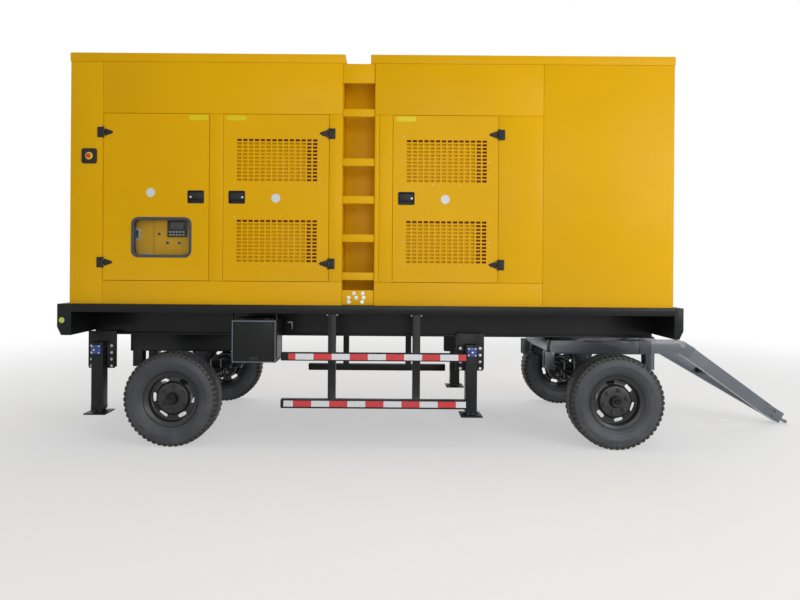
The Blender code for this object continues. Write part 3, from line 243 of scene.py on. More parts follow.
looks = {
    "canopyPaint": {"colour": (224, 170, 0), "rough": 0.42, "coat": 0.03, "spec": 0.10, "coatRough": 0.2,
        "drift": 0.035, "toneScale": 0.9, "grainScale": 420.0, "bump": 0.035, "bumpDepth": 0.0006,
        "wear": 0.10, "wearColour": (176, 128, 20), "wearWidth": 0.003, "dust": 0.10, "dustLow": 1.2,
        "dustHigh": 1.9, "dustTops": 0.9, "dustColour": (196, 170, 110), "dustScale": 1.6,
        "scratches": 0.05},
    "chassisPaint": {"colour": (17, 18, 19), "rough": 0.36, "coat": 0.06, "spec": 0.18, "drift": 0.25,
        "grainScale": 300.0, "bump": 0.08, "wear": 0.45, "wearColour": (96, 96, 100), "dust": 0.16,
        "dustLow": 0.0, "dustHigh": 1.4, "dustTops": 0.9, "dustColour": (104, 106, 112)},
    # its light edge wear is partly real wear and partly painted highlight, lightening the wheel nuts
    "wheelPaint": {"colour": (30, 31, 33), "rough": 0.34, "drift": 0.2, "bump": 0.15, "wear": 0.5,
        "wearColour": (92, 86, 80), "spec": 0.5, "dust": 0.12, "dustHigh": 1.4, "dustColour": (96, 94, 92)},
    "tyreRubber": {"colour": (44, 46, 52), "rough": 0.50, "drift": 0.22, "toneScale": 4.0,
        "grainScale": 600.0, "bump": 0.25, "bumpDepth": 0.0012, "dust": 0.52, "dustLow": -0.3,
        "dustHigh": 1.1, "dustTops": 0.2, "dustColour": (118, 120, 124), "dustScale": 6.0},
    "tyreTread": {"colour": (38, 36, 34), "rough": 0.80, "drift": 0.3, "toneScale": 9.0,
        "grainScale": 500.0, "bump": 0.3, "bumpDepth": 0.0014, "dust": 0.55, "dustLow": -0.2,
        "dustHigh": 1.4, "dustTops": 0.2, "dustColour": (92, 80, 64), "dustScale": 8.0},
    "zincSteel": {"colour": (190, 192, 196), "rough": 0.34, "metal": 0.85, "drift": 0.12,
        "toneScale": 14.0, "bump": 0.1, "dust": 0.12},
    "bareSteel": {"colour": (120, 120, 122), "rough": 0.42, "metal": 0.9, "drift": 0.2, "toneScale": 8.0,
        "bump": 0.2, "dust": 0.3, "dustColour": (104, 84, 62)},
    "blackPlastic": {"colour": (15, 15, 17), "rough": 0.46, "spec": 0.3, "drift": 0.1,
        "grainScale": 900.0, "bump": 0.18, "bumpDepth": 0.0006, "wear": 0.15, "dust": 0.10,
        "dustHigh": 3.0},
    "sealRubber": {"colour": (52, 56, 68), "rough": 0.55, "drift": 0.12, "grainScale": 700.0,
        "bump": 0.15, "dust": 0.15, "dustHigh": 3.0},
    # brown of the yellow paint in shade, for the seal behind the door gaps and the plate behind the grilles:
    # painted shade
    "darkGap": {"colour": (150, 74, 22), "rough": 0.85, "drift": 0.2, "bump": 0.2},
    "soundFoam": {"colour": (38, 38, 40), "rough": 0.95, "drift": 0.3, "toneScale": 20.0,
        "grainScale": 160.0, "bump": 0.8, "bumpDepth": 0.006},
    "engineCast": {"colour": (62, 84, 74), "rough": 0.5, "drift": 0.15, "grainScale": 180.0, "bump": 0.4,
        "wear": 0.3, "dust": 0.3, "dustHigh": 4.0, "dustColour": (90, 86, 78)},
    "alternatorCast": {"colour": (52, 60, 84), "rough": 0.48, "drift": 0.12, "grainScale": 180.0,
        "bump": 0.35, "wear": 0.25, "dust": 0.25, "dustHigh": 4.0},
    "coreFins": {"colour": (88, 90, 92), "rough": 0.5, "metal": 0.6, "drift": 0.2, "bump": 0.3},
    "redPlastic": {"colour": (196, 26, 22), "rough": 0.30, "coat": 0.4, "drift": 0.05, "bump": 0.05},
    "yellowPlastic": {"colour": (230, 196, 20), "rough": 0.38, "drift": 0.05, "bump": 0.05},
    "tapeRed": {"colour": (206, 24, 34), "rough": 0.24, "coat": 0.6, "drift": 0.05, "grainScale": 500.0,
        "bump": 0.15, "dust": 0.10, "dustHigh": 1.2},
    "tapeWhite": {"colour": (222, 224, 228), "rough": 0.28, "coat": 0.6, "drift": 0.05,
        "grainScale": 500.0, "bump": 0.15, "dust": 0.16, "dustHigh": 1.2},
    "gearboxBlue": {"colour": (28, 62, 148), "rough": 0.36, "coat": 0.3, "drift": 0.15, "bump": 0.15,
        "wear": 0.4, "dust": 0.2, "dustHigh": 1.4},
    "labelYellow": {"colour": (222, 200, 12), "rough": 0.35, "drift": 0.03, "bump": 0.04, "spec": 0.3},
    "blankSticker": {"colour": (206, 212, 216), "rough": 0.35, "drift": 0.03, "bump": 0.04, "dust": 0.06,
        "dustHigh": 3.0},
    "lensAmber": {"colour": (196, 204, 40), "rough": 0.18, "coat": 0.8, "drift": 0.1, "grainScale": 350.0,
        "bump": 0.5},
    "gaugeFace": {"colour": (176, 180, 182), "rough": 0.4, "drift": 0.05, "bump": 0.05},
    "displayGlass": {"colour": (26, 34, 36), "rough": 0.12, "coat": 0.6, "drift": 0.05, "bump": 0.02},
    "engineDark": {"colour": (36, 40, 40), "rough": 0.5, "drift": 0.15, "bump": 0.3, "wear": 0.3,
        "dust": 0.3, "dustHigh": 4.0},
    "exhaustIron": {"colour": (104, 74, 56), "rough": 0.8, "metal": 0.2, "drift": 0.35, "toneScale": 12.0,
        "grainScale": 120.0, "bump": 0.6},
    "filterPaint": {"colour": (206, 206, 200), "rough": 0.3, "coat": 0.3, "drift": 0.05, "bump": 0.05,
        "dust": 0.2, "dustHigh": 4.0},
    "fanPlastic": {"colour": (24, 25, 27), "rough": 0.45, "drift": 0.1, "bump": 0.1, "dust": 0.25,
        "dustHigh": 4.0},
    "drawbarPaint": {"colour": (92, 98, 108), "rough": 0.30, "coat": 0.35, "drift": 0.12,
        "toneScale": 2.0, "grainScale": 300.0, "bump": 0.08, "wear": 0.4, "wearColour": (120, 120, 124),
        "dust": 0.25, "dustHigh": 1.3, "dustColour": (128, 130, 136)},
    # darker copy of drawbarPaint for the turntable frame under the deck: painted shade
    "turntablePaint": {"colour": (52, 57, 66), "rough": 0.32, "coat": 0.2, "drift": 0.14,
        "toneScale": 2.0, "grainScale": 300.0, "bump": 0.08, "wear": 0.4, "wearColour": (104, 106, 112),
        "dust": 0.2, "dustHigh": 1.3, "dustColour": (104, 106, 112)},
}
finishes = {name: surface(name, look) for name, look in looks.items()}


def clearGlass():
    material, tree, shader = newMaterial("windowGlass")
    skin = useGroup(tree, skinGroup, {"Tone Scale": 2.0, "Grain Scale": 60.0, "Scratches": 0.1})
    feed(tree, shader, {"Roughness": ramp(tree, skin["Gloss"], 0.3, 0.9, 0.02, 0.10),
                        "Transmission Weight": 1.0, "Base Color": (0.60, 0.62, 0.56, 1.0), "IOR": 1.3,
                        "Alpha": 0.55})
    return material


finishes["windowGlass"] = clearGlass()
print("finishes ready:", len(finishes))


# shape helpers: each adds to a bmesh; limits along an axis are (low, high) pairs
placing = {"X": lambda a, b, c: (c, a, b), "Y": lambda a, b, c: (a, c, b), "Z": lambda a, b, c: (a, b, c)}


def about(middle, half):
    return middle - half, middle + half


def tag(faces, index):
    for face in faces:
        face.material_index = index


def facesOf(verts):
    return list({face for vert in verts for face in vert.link_faces})


def bevelEdges(shape, edges, width, steps=2):
    return bmesh.ops.bevel(shape, geom=edges, offset=width, offset_type="OFFSET", segments=steps, profile=0.5,
                           affect="EDGES", clamp_overlap=True, material=-1)


# rounds the chosen edges of what was just made, and gives all its faces a material index
def finishPart(shape, verts, edges, soft, index, steps=2):
    if soft > 0:
        rounded = bevelEdges(shape, edges, soft, steps)["verts"]
        verts = [vert for vert in list(verts) + list(rounded) if vert.is_valid]
    faces = facesOf(verts)
    tag(faces, index)
    return faces


# a box between three pairs of limits, its edges rounded by soft
def addBox(shape, x, y, z, soft=0.0, index=0, turn=None, steps=2):
    size = Vector([abs(pair[1] - pair[0]) for pair in (x, y, z)])
    middle = Vector([(pair[0] + pair[1]) / 2 for pair in (x, y, z)])
    matrix = Matrix.Translation(middle) @ Matrix.Diagonal(size).to_4x4()
    if turn is not None:
        matrix = turn @ matrix
    made = bmesh.ops.create_cube(shape, size=1.0, matrix=matrix)["verts"]
    edges = list({edge for face in facesOf(made) for edge in face.edges})
    return finishPart(shape, made, edges, soft, index, steps)


# a round bar from start to end; tip is the end's own radius
def addRod(shape, start, end, radius, sides=20, soft=0.0, index=0, tip=None):
    start, end = Vector(start), Vector(end)
    turn = (end - start).to_track_quat("Z", "Y").to_matrix().to_4x4()
    made = bmesh.ops.create_cone(
        shape, cap_ends=True, segments=sides, radius1=radius, radius2=radius if tip is None else tip,
        depth=(end - start).length, matrix=Matrix.Translation((start + end) / 2) @ turn)["verts"]
    rims = list({edge for face in facesOf(made) if len(face.verts) > 4 for edge in face.edges})
    return finishPart(shape, made, rims, soft, index)


# a round bar along one axis: its run is the one coordinate given as a pair
def addBar(shape, x, y, z, *values, **more):
    start, end = (
        [value[part] if isinstance(value, tuple) else value for value in (x, y, z)] for part in (0, 1))
    return addRod(shape, start, end, *values, **more)


# washer, hexagon and a short stud end, standing on base and pointing along way
def addHexBolt(shape, base, way, across, height, index=0, washer=True, stud=0.0):
    level, way = Vector(base), Vector(way).normalized()
    if washer:
        addRod(shape, level, level + way * height * 0.22, across * 0.92, 14, 0.0, index)
        level = level + way * height * 0.22
    top = level + way * height
    addRod(shape, level, top, across * 0.577, 6, across * 0.03, index)
    if stud > 0:
        addRod(shape, top, top + way * stud, across * 0.28, 10, 0.0, index)


# low pan head
def addScrewHead(shape, base, way, radius, index=0):
    base, way = Vector(base), Vector(way).normalized()
    addRod(shape, base, base + way * radius * 0.55, radius, 10, 0.0, index, tip=radius * 0.6)


# angle and place of each of a number of things on a circle
def ringSpots(count, radius, first=0.0):
    angles = [first + math.tau * number / count for number in range(count)]
    return [(angle, radius * math.cos(angle), radius * math.sin(angle)) for angle in angles]


# turns a profile of (radius, height) pairs round +Z; ends on the axis or closed profiles make a solid
def addLathe(shape, profile, steps=48, index=0, closed=False):
    verts = [shape.verts.new((radius, 0.0, height)) for radius, height in profile]
    pairs = list(zip(verts, verts[1:])) + ([(verts[-1], verts[0])] if closed else [])
    edges = [shape.edges.new(pair) for pair in pairs]
    bmesh.ops.spin(shape, geom=verts + edges, cent=(0, 0, 0), axis=(0, 0, 1), angle=2 * math.pi, steps=steps,
                   use_merge=True, use_duplicate=False)
    reached, front = set(), [vert for vert in verts if vert.is_valid]
    while front:                                   # everything joined to the profile is the new part
        vert = front.pop()
        if vert not in reached:
            reached.add(vert)
            front.extend(edge.other_vert(vert) for edge in vert.link_edges)
    bmesh.ops.remove_doubles(shape, verts=list(reached), dist=1e-5)
    reached = [vert for vert in reached if vert.is_valid]
    faces = facesOf(reached)
    tag(faces, index)
    bmesh.ops.recalc_face_normals(shape, faces=faces)
    return reached


def moveVerts(shape, verts, matrix):
    bmesh.ops.transform(shape, matrix=matrix, verts=verts)


# moves what was added since the shape had so many points
def moveNew(shape, before, matrix):
    shape.verts.ensure_lookup_table()
    moveVerts(shape, shape.verts[before:], matrix)


# pushes flat faces out to a second level, and gives the points of both
def pushOut(shape, flat, shift):
    grown = bmesh.ops.extrude_face_region(shape, geom=flat)["geom"]
    top = [item for item in grown if isinstance(item, bmesh.types.BMVert)]
    bmesh.ops.translate(shape, verts=top, vec=Vector(shift))
    verts = list(dict.fromkeys(vert for face in flat for vert in face.verts)) + top
    bmesh.ops.recalc_face_normals(shape, faces=facesOf(verts))
    return verts


# a flat outline pushed out between low and high along an axis
def addOutline(shape, points, low, high, axis="Y", soft=0.0, index=0, steps=2):
    order = placing[axis]
    flat = shape.faces.new([shape.verts.new(order(a, b, low)) for a, b in points])
    verts = pushOut(shape, [flat], order(0, 0, high - low))
    edges = list({edge for side in facesOf(verts) for edge in side.edges})
    return finishPart(shape, verts, edges, soft, index, steps)


# corner points of a rounded rectangle from low (a, b) to high (a, b)
def roundedCorners(low, high, radius, steps=4):
    corners = ((high[0] - radius, high[1] - radius, 0), (low[0] + radius, high[1] - radius, 1),
               (low[0] + radius, low[1] + radius, 2), (high[0] - radius, low[1] + radius, 3))
    points = []
    for a, b, quarter in corners:
        for step in range(steps + 1):
            angle = math.pi / 2 * (quarter + step / steps)
            points.append((a + radius * math.cos(angle), b + radius * math.sin(angle)))
    return points


# the same from an area (a low, a high, b low, b high), drawn in by an amount
def inset(area, amount, radius, steps=5):
    a0, a1, b0, b1 = area
    return roundedCorners((a0 + amount, b0 + amount), (a1 - amount, b1 - amount), radius, steps)


# a flat ring between two outlines with as many points each, from low to high
def addFrame(shape, outer, inner, low, high, axis="Y", index=0):
    order = placing[axis]
    edges = []
    for points in (outer, inner):
        row = [shape.verts.new(order(a, b, low)) for a, b in points]
        edges += [shape.edges.new(pair) for pair in zip(row, row[1:] + row[:1])]
    flat = bmesh.ops.bridge_loops(shape, edges=edges)["faces"]
    faces = facesOf(pushOut(shape, flat, order(0, 0, high - low)))
    tag(faces, index)
    return faces


# a flat sheet in x and z with holes (x low, x high, z low, z high), pushed from y by depth
def cutSheet(shape, x, z, holes, y, depth, index=0):
    corners = ((x[0], z[0]), (x[1], z[0]), (x[1], z[1]), (x[0], z[1]))
    sheet = [shape.faces.new([shape.verts.new((a, y, b)) for a, b in corners])]
    for normal, limits, picks in ((Vector((1, 0, 0)), x, (0, 1)), (Vector((0, 0, 1)), z, (2, 3))):
        for value in sorted({round(hole[pick], 6) for hole in holes for pick in picks}):
            if limits[0] + 1e-6 < value < limits[1] - 1e-6:
                parts = [[face] + list(face.edges) + list(face.verts) for face in sheet]
                geometry = list({item for group in parts for item in group})
                cut = bmesh.ops.bisect_plane(
                    shape, geom=geometry, dist=1e-6, plane_co=normal * value, plane_no=normal)["geom"]
                sheet = list({item for item in cut if isinstance(item, bmesh.types.BMFace)})
    gone, keep = [], []
    for face in sheet:
        middle = face.calc_center_median()
        inHole = any(h[0] < middle.x < h[1] and h[2] < middle.z < h[3] for h in holes)
        (gone if inHole else keep).append(face)
    bmesh.ops.delete(shape, geom=gone, context="FACES_KEEP_BOUNDARY")
    faces = facesOf(pushOut(shape, keep, (0, depth, 0)))
    tag(faces, index)
    return faces


# rounds the rim of a flat sheet's front face
def softenRim(shape, faces, y, width):
    front = [face for face in faces if face.is_valid and abs(face.calc_center_median().y - y) < 1e-5]
    edges = list({edge for face in front for edge in face.edges
                  if any(abs(other.normal.y) < 0.5 for other in edge.link_faces)})
    bevelEdges(shape, edges, width)


# turns a bmesh into a piece that rides on a CAD body
def makePiece(name, shape, materials, body, slot, *replaced, smooth=35):
    mesh = bpy.data.meshes.new(name)
    shape.to_mesh(mesh)
    shape.free()
    for material in materials.split():
        mesh.materials.append(finishes[material])
    mesh.shade_smooth()
    mesh.set_sharp_from_angle(angle=math.radians(smooth))
    piece = bpy.data.objects.new(name, mesh)
    bpy.context.scene.collection.objects.link(piece)
    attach(piece, body)
    if replaced:
        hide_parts(*replaced)
    return piece


# a copy of a CAD node with its flat faces joined and its edges rounded
def softCopy(node, width, steps=2, sharp=30):
    shape = bmesh.new()
    shape.from_mesh(frame["nodes"][node].data)
    bmesh.ops.remove_doubles(shape, verts=shape.verts, dist=1e-5)
    bmesh.ops.dissolve_limit(shape, angle_limit=math.radians(0.6), verts=shape.verts, edges=shape.edges)
    edges = [edge for edge in shape.edges
             if len(edge.link_faces) == 2 and edge.calc_face_angle(0) > math.radians(sharp)]
    bevelEdges(shape, edges, width, steps)
    tag(shape.faces, 0)
    return shape


print("helpers ready")


# canopy skin: separate folded sheets with open seams
canopy = {
    "seam": 0.0016,               # gap between two sheets
    "fold": 0.0022,               # radius of a folded edge
    "frontSection": 1.098,        # plain section ahead of the second door group
    "cornerPost": 0.272,          # rear corner post, up to the first door
    "cornerStrip": 0.038,         # strip beside the ladder recess
    "lip": 0.014,                 # bright lower lip
    "screw": 0.0065,
}
doorSpots = {name: doorEdges(name) for name in doorNames}
seamLow, seamHigh = doorLow.z - doorGap, doorHigh.z + doorGap
frontSeam = frontX - canopy["frontSection"]


# sheets between low and high: full-height ends, and a sill, a door row and a header between them
def wallSpans(low, high, side):
    start = rearX + canopy["cornerPost"] if low < rearX + 0.05 else low
    end = min(high, frontSeam)
    spans = [(x0, x1, wallBottom, wallTop) for x0, x1 in ((low, start), (end, high)) if x1 - x0 > 0.01]
    spans += [(start, end, wallBottom, seamLow), (start, end, seamHigh, wallTop)]
    strip = [start + canopy["cornerStrip"]] if side < 0 and low > rearX + 1 else []
    marks = [start] + strip + [end]
    return spans + [(x0, x1, seamLow, seamHigh) for x0, x1 in zip(marks, marks[1:])]


# one CAD side wall as separate sheets, with the door openings left out
def buildWall(node, side):
    low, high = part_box(node)
    openings = [
        (x0 - doorGap, x1 + doorGap, seamLow, seamHigh) for x0, x1, pin, way,
        doorSide in doorSpots.values() if doorSide == side and low.x < (x0 + x1) / 2 < high.x]
    shape = bmesh.new()
    gap, face = canopy["seam"] / 2, side * canopyHalf
    for x0, x1, z0, z1 in wallSpans(low.x, high.x, side):
        holes = [(a, b, c, d) for a, b, c, d in openings if x0 < (a + b) / 2 < x1 and z0 < (c + d) / 2 < z1]
        faces = cutSheet(shape, (x0 + gap, x1 - gap), (z0 + gap, z1 - gap), holes, face, -side * panel)
        softenRim(shape, faces, face, canopy["fold"])
    makePiece(node + "_sheets", shape, "canopyPaint", "chassis", "canopy_paint", node)


for node, side in (
        ("rear_side_right", -1), ("rear_side_left", 1), ("front_side_right", -1), ("front_side_left", 1)):
    buildWall(node, side)
print("canopy walls done")


# service doors
door = {
    "skin": 0.0016,               # punched outer sheet
    "columns": 14,
    "rows": 12,
    "holeWide": 0.036,
    "holeTall": 0.0185,
    "grilleWide": 0.684,
    "grilleFromHinge": 0.092,
    "grilleTall": 0.364,
    "grilleLow": 0.155,           # lower grille above the door's bottom edge
    "grilleHigh": 0.200,          # upper grille under the door's top edge
    "grilleRim": 0.012,           # how far the duct behind a grille reaches past it
    "baffleDepth": 0.017,
    # the baffle stops short by these columns, so the brown plate behind shows there as painted shadow of the
    # grille's edge
    "baffleShort": 2,             # columns the baffle leaves dark
    "screw": 0.0045,
    "foam": 0.009,
    "foamIn": 0.045,              # foam's edge inside the door's edge
    "sealOut": 0.012,
    "sealIn": 0.016,
    "stickerRound": 0.0375,
    "stickerLong": (0.125, 0.042),
    "stickerThick": 0.0004,
}
lockPlate = {"wide": 0.139, "tall": 0.109, "proud": 0.0035, "corner": 0.012, "pocketWide": 0.131,
             "pocketTall": 0.101, "pocketDeep": 0.0275, "key": 0.0085, "keyIn": 0.020}
window = {"wide": 0.507, "tall": 0.340, "fromHinge": 0.234, "corner": 0.060, "seal": 0.021, "proud": 0.0045}


def lockSpot(name):
    low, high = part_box("handle_" + name)
    return (low.x + high.x) / 2, high.z + 0.0075 - lockPlate["pocketTall"] / 2


def grilleSpots(name):
    x0, x1, pin, way, side = doorSpots[name]
    start = (x0 if way > 0 else x1) + way * door["grilleFromHinge"]
    near, far = sorted((start, start + way * door["grilleWide"]))
    low = doorLow.z + door["grilleLow"]
    high = doorHigh.z - door["grilleHigh"]
    return [(near, far, low, low + door["grilleTall"]), (near, far, high - door["grilleTall"], high)]


def grilleHoles(area):
    x0, x1, z0, z1 = area
    columns, rows = door["columns"], door["rows"]
    middles = [(x0 + (column + 0.5) * (x1 - x0) / columns, z0 + (row + 0.5) * (z1 - z0) / rows)
               for column in range(columns) for row in range(rows)]
    return [about(x, door["holeWide"] / 2) + about(z, door["holeTall"] / 2) for x, z in middles]


def windowSpot():
    x = doorSpots["control_door"][0] + window["fromHinge"]
    low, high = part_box("window_pane")
    return (x, x + window["wide"]) + about((low.z + high.z) / 2, window["tall"] / 2)


# duct, baffle and screws of one grille; the baffle stops a row short at the top and some columns short at the
# far end, and the plate behind shows there in the brown finish as painted shadow of the grille's edges
def addGrille(shape, area, side):
    a, b, c, d = area
    back, depth = side * (canopyHalf - panel), side * (canopyHalf - door["baffleDepth"])
    column, row, rim = (b - a) / door["columns"], (d - c) / door["rows"], door["grilleRim"]
    addBox(shape, (a - rim, b - door["baffleShort"] * column), (depth, depth - side * 0.002),
           (c - rim, d - row), 0.0008)
    # plate behind the grille in the painted shade finish
    addBox(shape, (a - rim, b + rim), (back, back + side * 0.003), (c - rim, d + rim), 0, 2)
    screws = [(x, z) for x in (a - 0.018, b + 0.018) for z in (c - 0.016, (c + d) / 2, d + 0.022)]
    for x, z in screws + [(a + (b - a) * share, c - 0.016) for share in (1 / 3, 2 / 3)]:
        addScrewHead(shape, (x, side * canopyHalf, z), (0, side, 0), door["screw"], 3)


def buildDoor(name):
    x0, x1, pin, way, side = doorSpots[name]
    face, inner, back = (side * (canopyHalf - depth) for depth in (0, door["skin"], panel))
    lockX, lockZ = lockSpot(name)
    pocket = about(lockX, lockPlate["pocketWide"] / 2) + about(lockZ, lockPlate["pocketTall"] / 2)
    x, z = (x0, x1), (doorLow.z, doorHigh.z)
    shape = bmesh.new()
    keepOut = []
    if name == "control_door":
        wx0, wx1, wz0, wz1 = windowSpot()
        seal = window["seal"]
        opening = (wx0 + seal, wx1 - seal, wz0 + seal, wz1 - seal)
        keepOut = [(opening[0] - 0.03, opening[1] + 0.03, opening[2] - 0.03, opening[3] + 0.03)]
        cutSheet(shape, x, z, [pocket, opening], face, back - face)
    else:
        areas, rim = grilleSpots(name), door["grilleRim"]
        cutSheet(shape, x, z, [hole for area in areas for hole in grilleHoles(area)] + [pocket], face,
                 inner - face)
        ducts = [(a - rim, b + rim, c - rim, d + rim) for a, b, c, d in areas]
        cutSheet(shape, x, z, ducts + [pocket], inner, back - inner)
        for area in areas:
            addGrille(shape, area, side)
    into, foamDeep = door["foamIn"], back - side * door["foam"]
    foam = cutSheet(shape, (x0 + into, x1 - into), (z[0] + into, z[1] - into), keepOut, back - side * 0.0004,
                    foamDeep - back, 1)
    softenRim(shape, foam, foamDeep, 0.003)
    makePiece(name + "_leaf", shape, "canopyPaint soundFoam darkGap zincSteel", name, "canopy_paint", name)
    # bulb seal behind the gap round the door, coloured as the yellow paint in shade so that the gap reads as
    # a dark line: painted shade
    shape = bmesh.new()
    near = side * (canopyHalf - panel - 0.0006)
    edges = x + z
    addFrame(shape, inset(edges, -door["sealOut"], 0.01, 2), inset(edges, door["sealIn"], 0.01, 2), near,
             near - side * 0.010)
    makePiece(name + "_seal", shape, "darkGap", "chassis", "black_plastic")
    buildLockPlate(name, pocket, side)
    buildLockPaddle(name, (pocket[2] + pocket[3]) / 2, side)


# rim plate and lined pocket with its ribs, on the door
def buildLockPlate(name, pocket, side):
    face, deep = side * canopyHalf, side * (canopyHalf - lockPlate["pocketDeep"])
    front = face + side * lockPlate["proud"]
    middleX, middleZ = (pocket[0] + pocket[1]) / 2, (pocket[2] + pocket[3]) / 2
    outer = about(middleX, lockPlate["wide"] / 2) + about(middleZ, lockPlate["tall"] / 2)
    shape = bmesh.new()
    rim = addFrame(shape, inset(outer, 0, lockPlate["corner"]), inset(pocket, 0.0035, 0.005), face, front)
    softenRim(shape, rim, front, 0.0012)
    lining = inset(pocket, 0.0002, 0.004)
    addFrame(shape, lining, inset(pocket, 0.002, 0.003), face, deep)
    addOutline(shape, lining, deep, deep + side * 0.0015)
    for x in (pocket[0] + 0.006, pocket[1] - 0.006):
        addBox(shape, about(x, 0.0015), (deep, deep + side * 0.010),
               (pocket[2] + 0.006, pocket[2] + 0.036), 0.0008)
    makePiece("lock_plate_" + name, shape, "blackPlastic", name, "black_plastic")


# paddle with finger lines, key barrel and a raised bar, on the lock's own body
def buildLockPaddle(name, keyZ, side):
    low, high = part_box("handle_" + name)
    front = high.y if side > 0 else low.y
    keySide = 1 if name == "control_door" else -1
    keyX = low.x + lockPlate["keyIn"] if keySide > 0 else high.x - lockPlate["keyIn"]
    shape = bmesh.new()
    addBox(shape, (low.x + 0.0042, high.x - 0.0042), (low.y + 0.0012, high.y - 0.0002),
           (low.z, high.z - 0.001), 0.0022)
    for step in range(4):
        z = low.z + 0.006 + 0.004 * step
        addBox(shape, (low.x + 0.036, high.x - 0.036), (front - side * 0.0015, front + side * 0.00048),
               (z, z + 0.0016), 0.0005)
    addBar(shape, keyX, (front - side * 0.003, front + side * 0.0022), keyZ, lockPlate["key"], 24, 0.0008, 1)
    addBox(shape, about(keyX, 0.0011), (front + side * 0.0016, front + side * 0.0026), about(keyZ, 0.005),
           0.0003)
    addBox(shape, (keyX + keySide * 0.012, keyX + keySide * 0.018),
           (front - side * 0.002, front + side * 0.0014), (low.z + 0.008, high.z - 0.010), 0.0008)
    makePiece("lock_paddle_" + name, shape, "blackPlastic zincSteel", "lock_" + name, "black_plastic",
              "handle_" + name)


for name in doorNames:
    buildDoor(name)
print("doors done:", len(doorNames))


# door hinges
hinge = {"thick": 0.0055, "frameLeaf": (0.0105, 0.052), "doorLeaf": (0.0105, 0.078), "tall": 0.088,
         "tipTall": 0.022, "knuckle": 0.0078, "gap": 0.0006, "screw": 0.0048, "heights": (0.149, 0.158)}


def buildHinges(name):
    x0, x1, pin, way, side = doorSpots[name]
    axisY = spot(name + "_swing").y
    face = side * canopyHalf
    front = face + side * hinge["thick"]
    half, tip, gap = hinge["tall"] / 2, hinge["tipTall"] / 2, hinge["gap"]
    third = half * 2 / 3
    still, moving = bmesh.new(), bmesh.new()
    for z in (doorLow.z + hinge["heights"][0], doorHigh.z - hinge["heights"][1]):
        near, far = sorted(pin - way * distance for distance in hinge["frameLeaf"])
        addOutline(still, roundedCorners((near, z - half), (far, z + half), 0.005, 3),
                   face + side * 0.0002, front, "Y", 0.0012)
        near, far = (pin + way * distance for distance in hinge["doorLeaf"])
        upper = [(far, z + tip * 0.5), (far - way * 0.008, z + tip), (near, z + half * 0.72)]
        taper = [(x, 2 * z - height) for x, height in reversed(upper)] + upper
        addOutline(moving, taper, face + side * 0.0002, front, "Y", 0.0012)
        for shape, toward, a, b in (
                (still, -way, -half, -half + third - gap), (still, -way, half - third + gap, half),
                (moving, way, -half + third + gap, half - third - gap)):
            addBar(shape, pin, axisY, (z + a, z + b), hinge["knuckle"], 20, 0.0008)
            addBox(shape, (pin + toward * 0.003, pin + toward * 0.014), (face + side * 0.0004, front),
                   (z + a, z + b), gap)
        for end in (-1, 1):
            addBar(still, pin, axisY, (z + end * half, z + end * (half + 0.0022)), hinge["knuckle"] * 0.72,
                   16, 0.0008)
        for shape, reach, part in ((still, -0.036, -0.6), (still, -0.036, 0.0), (still, -0.036, 0.6),
                                   (moving, 0.030, -0.42), (moving, 0.030, 0.42), (moving, 0.060, 0.0)):
            addScrewHead(shape, (pin + way * reach, front, z + half * part), (0, side, 0), hinge["screw"])
    makePiece("hinge_frame_leaves_" + name, still, "blackPlastic", "chassis", "black_plastic")
    makePiece("hinge_door_leaves_" + name, moving, "blackPlastic", name, "black_plastic")


for name in doorNames:
    buildHinges(name)
print("hinges done")


# window: rubber seal with its locking strip, the lining of the opening, and the pane
def buildWindow():
    area = windowSpot()
    seal, corner, proud = window["seal"], window["corner"], window["proud"]
    low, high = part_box("window_pane")

    def ring(amount):
        return inset(area, amount, corner - amount, 8)
    shape = bmesh.new()
    for outer, inner, back, front, soft in (
            (0, seal, nearFace - 0.0002, nearFace - proud, 0.0022),
            (0.009, 0.013, nearFace - proud + 0.0004, nearFace - proud - 0.0012, 0.0006)):
        softenRim(shape, addFrame(shape, ring(outer), ring(inner), back, front), front, soft)
    addFrame(shape, ring(seal + 0.0003), ring(seal + 0.003), nearFace + 0.0002, nearFace + panel + 0.006)
    makePiece("window_seal", shape, "sealRubber", "control_door", "black_plastic")
    shape = bmesh.new()
    addOutline(shape, ring(seal + 0.0005), low.y, high.y, "Y", 0.0004)
    makePiece("window_glass", shape, "windowGlass", "control_door", "window_glass", "window_pane")


stopButton = {"plate": 0.127, "proud": 0.010, "corner": 0.020, "bore": 0.0095}


# black plate, yellow ring and red mushroom
def buildStopButton():
    low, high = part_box("e_stop_button")
    x, z = (low.x + high.x) / 2, (low.z + high.z) / 2
    proud, bore = stopButton["proud"], stopButton["bore"]
    square, hole = (about(x, half) + about(z, half) for half in (stopButton["plate"] / 2, bore))
    shape = bmesh.new()
    faces = addFrame(shape, inset(square, 0, stopButton["corner"]), inset(hole, 0, bore - 0.0002),
                     nearFace - 0.0002, nearFace - proud)
    softenRim(shape, faces, nearFace - proud, 0.003)
    makePiece("stop_plate", shape, "blackPlastic", "chassis", "black_plastic")
    top = nearFace - low.y - proud
    ring = ((0.0105, 0.0), (0.031, 0.0), (0.031, 0.0018), (0.029, 0.003), (0.013, 0.003), (0.0105, 0.0016))
    mushroom = ((0.0, -0.003), (0.0075, -0.003), (0.0078, top - 0.0125), (0.0175, top - 0.0115),
                (0.019, top - 0.0095), (0.0188, top - 0.006), (0.0160, top - 0.0020), (0.0100, top - 0.0004),
                (0.0, top))
    outwards = Matrix.Translation((x, nearFace - proud, z)) @ Matrix.Rotation(math.pi / 2, 4, "X")
    for name, profile, closed, finish, body, replaced in (
            ("stop_ring", ring, True, "yellowPlastic", "chassis", ()),
            ("stop_mushroom", mushroom, False, "redPlastic", "stop_button", ("e_stop_button",))):
        shape = bmesh.new()
        moveVerts(shape, addLathe(shape, profile, 40, 0, closed), outwards)
        makePiece(name, shape, finish, body, "red_plastic", *replaced)


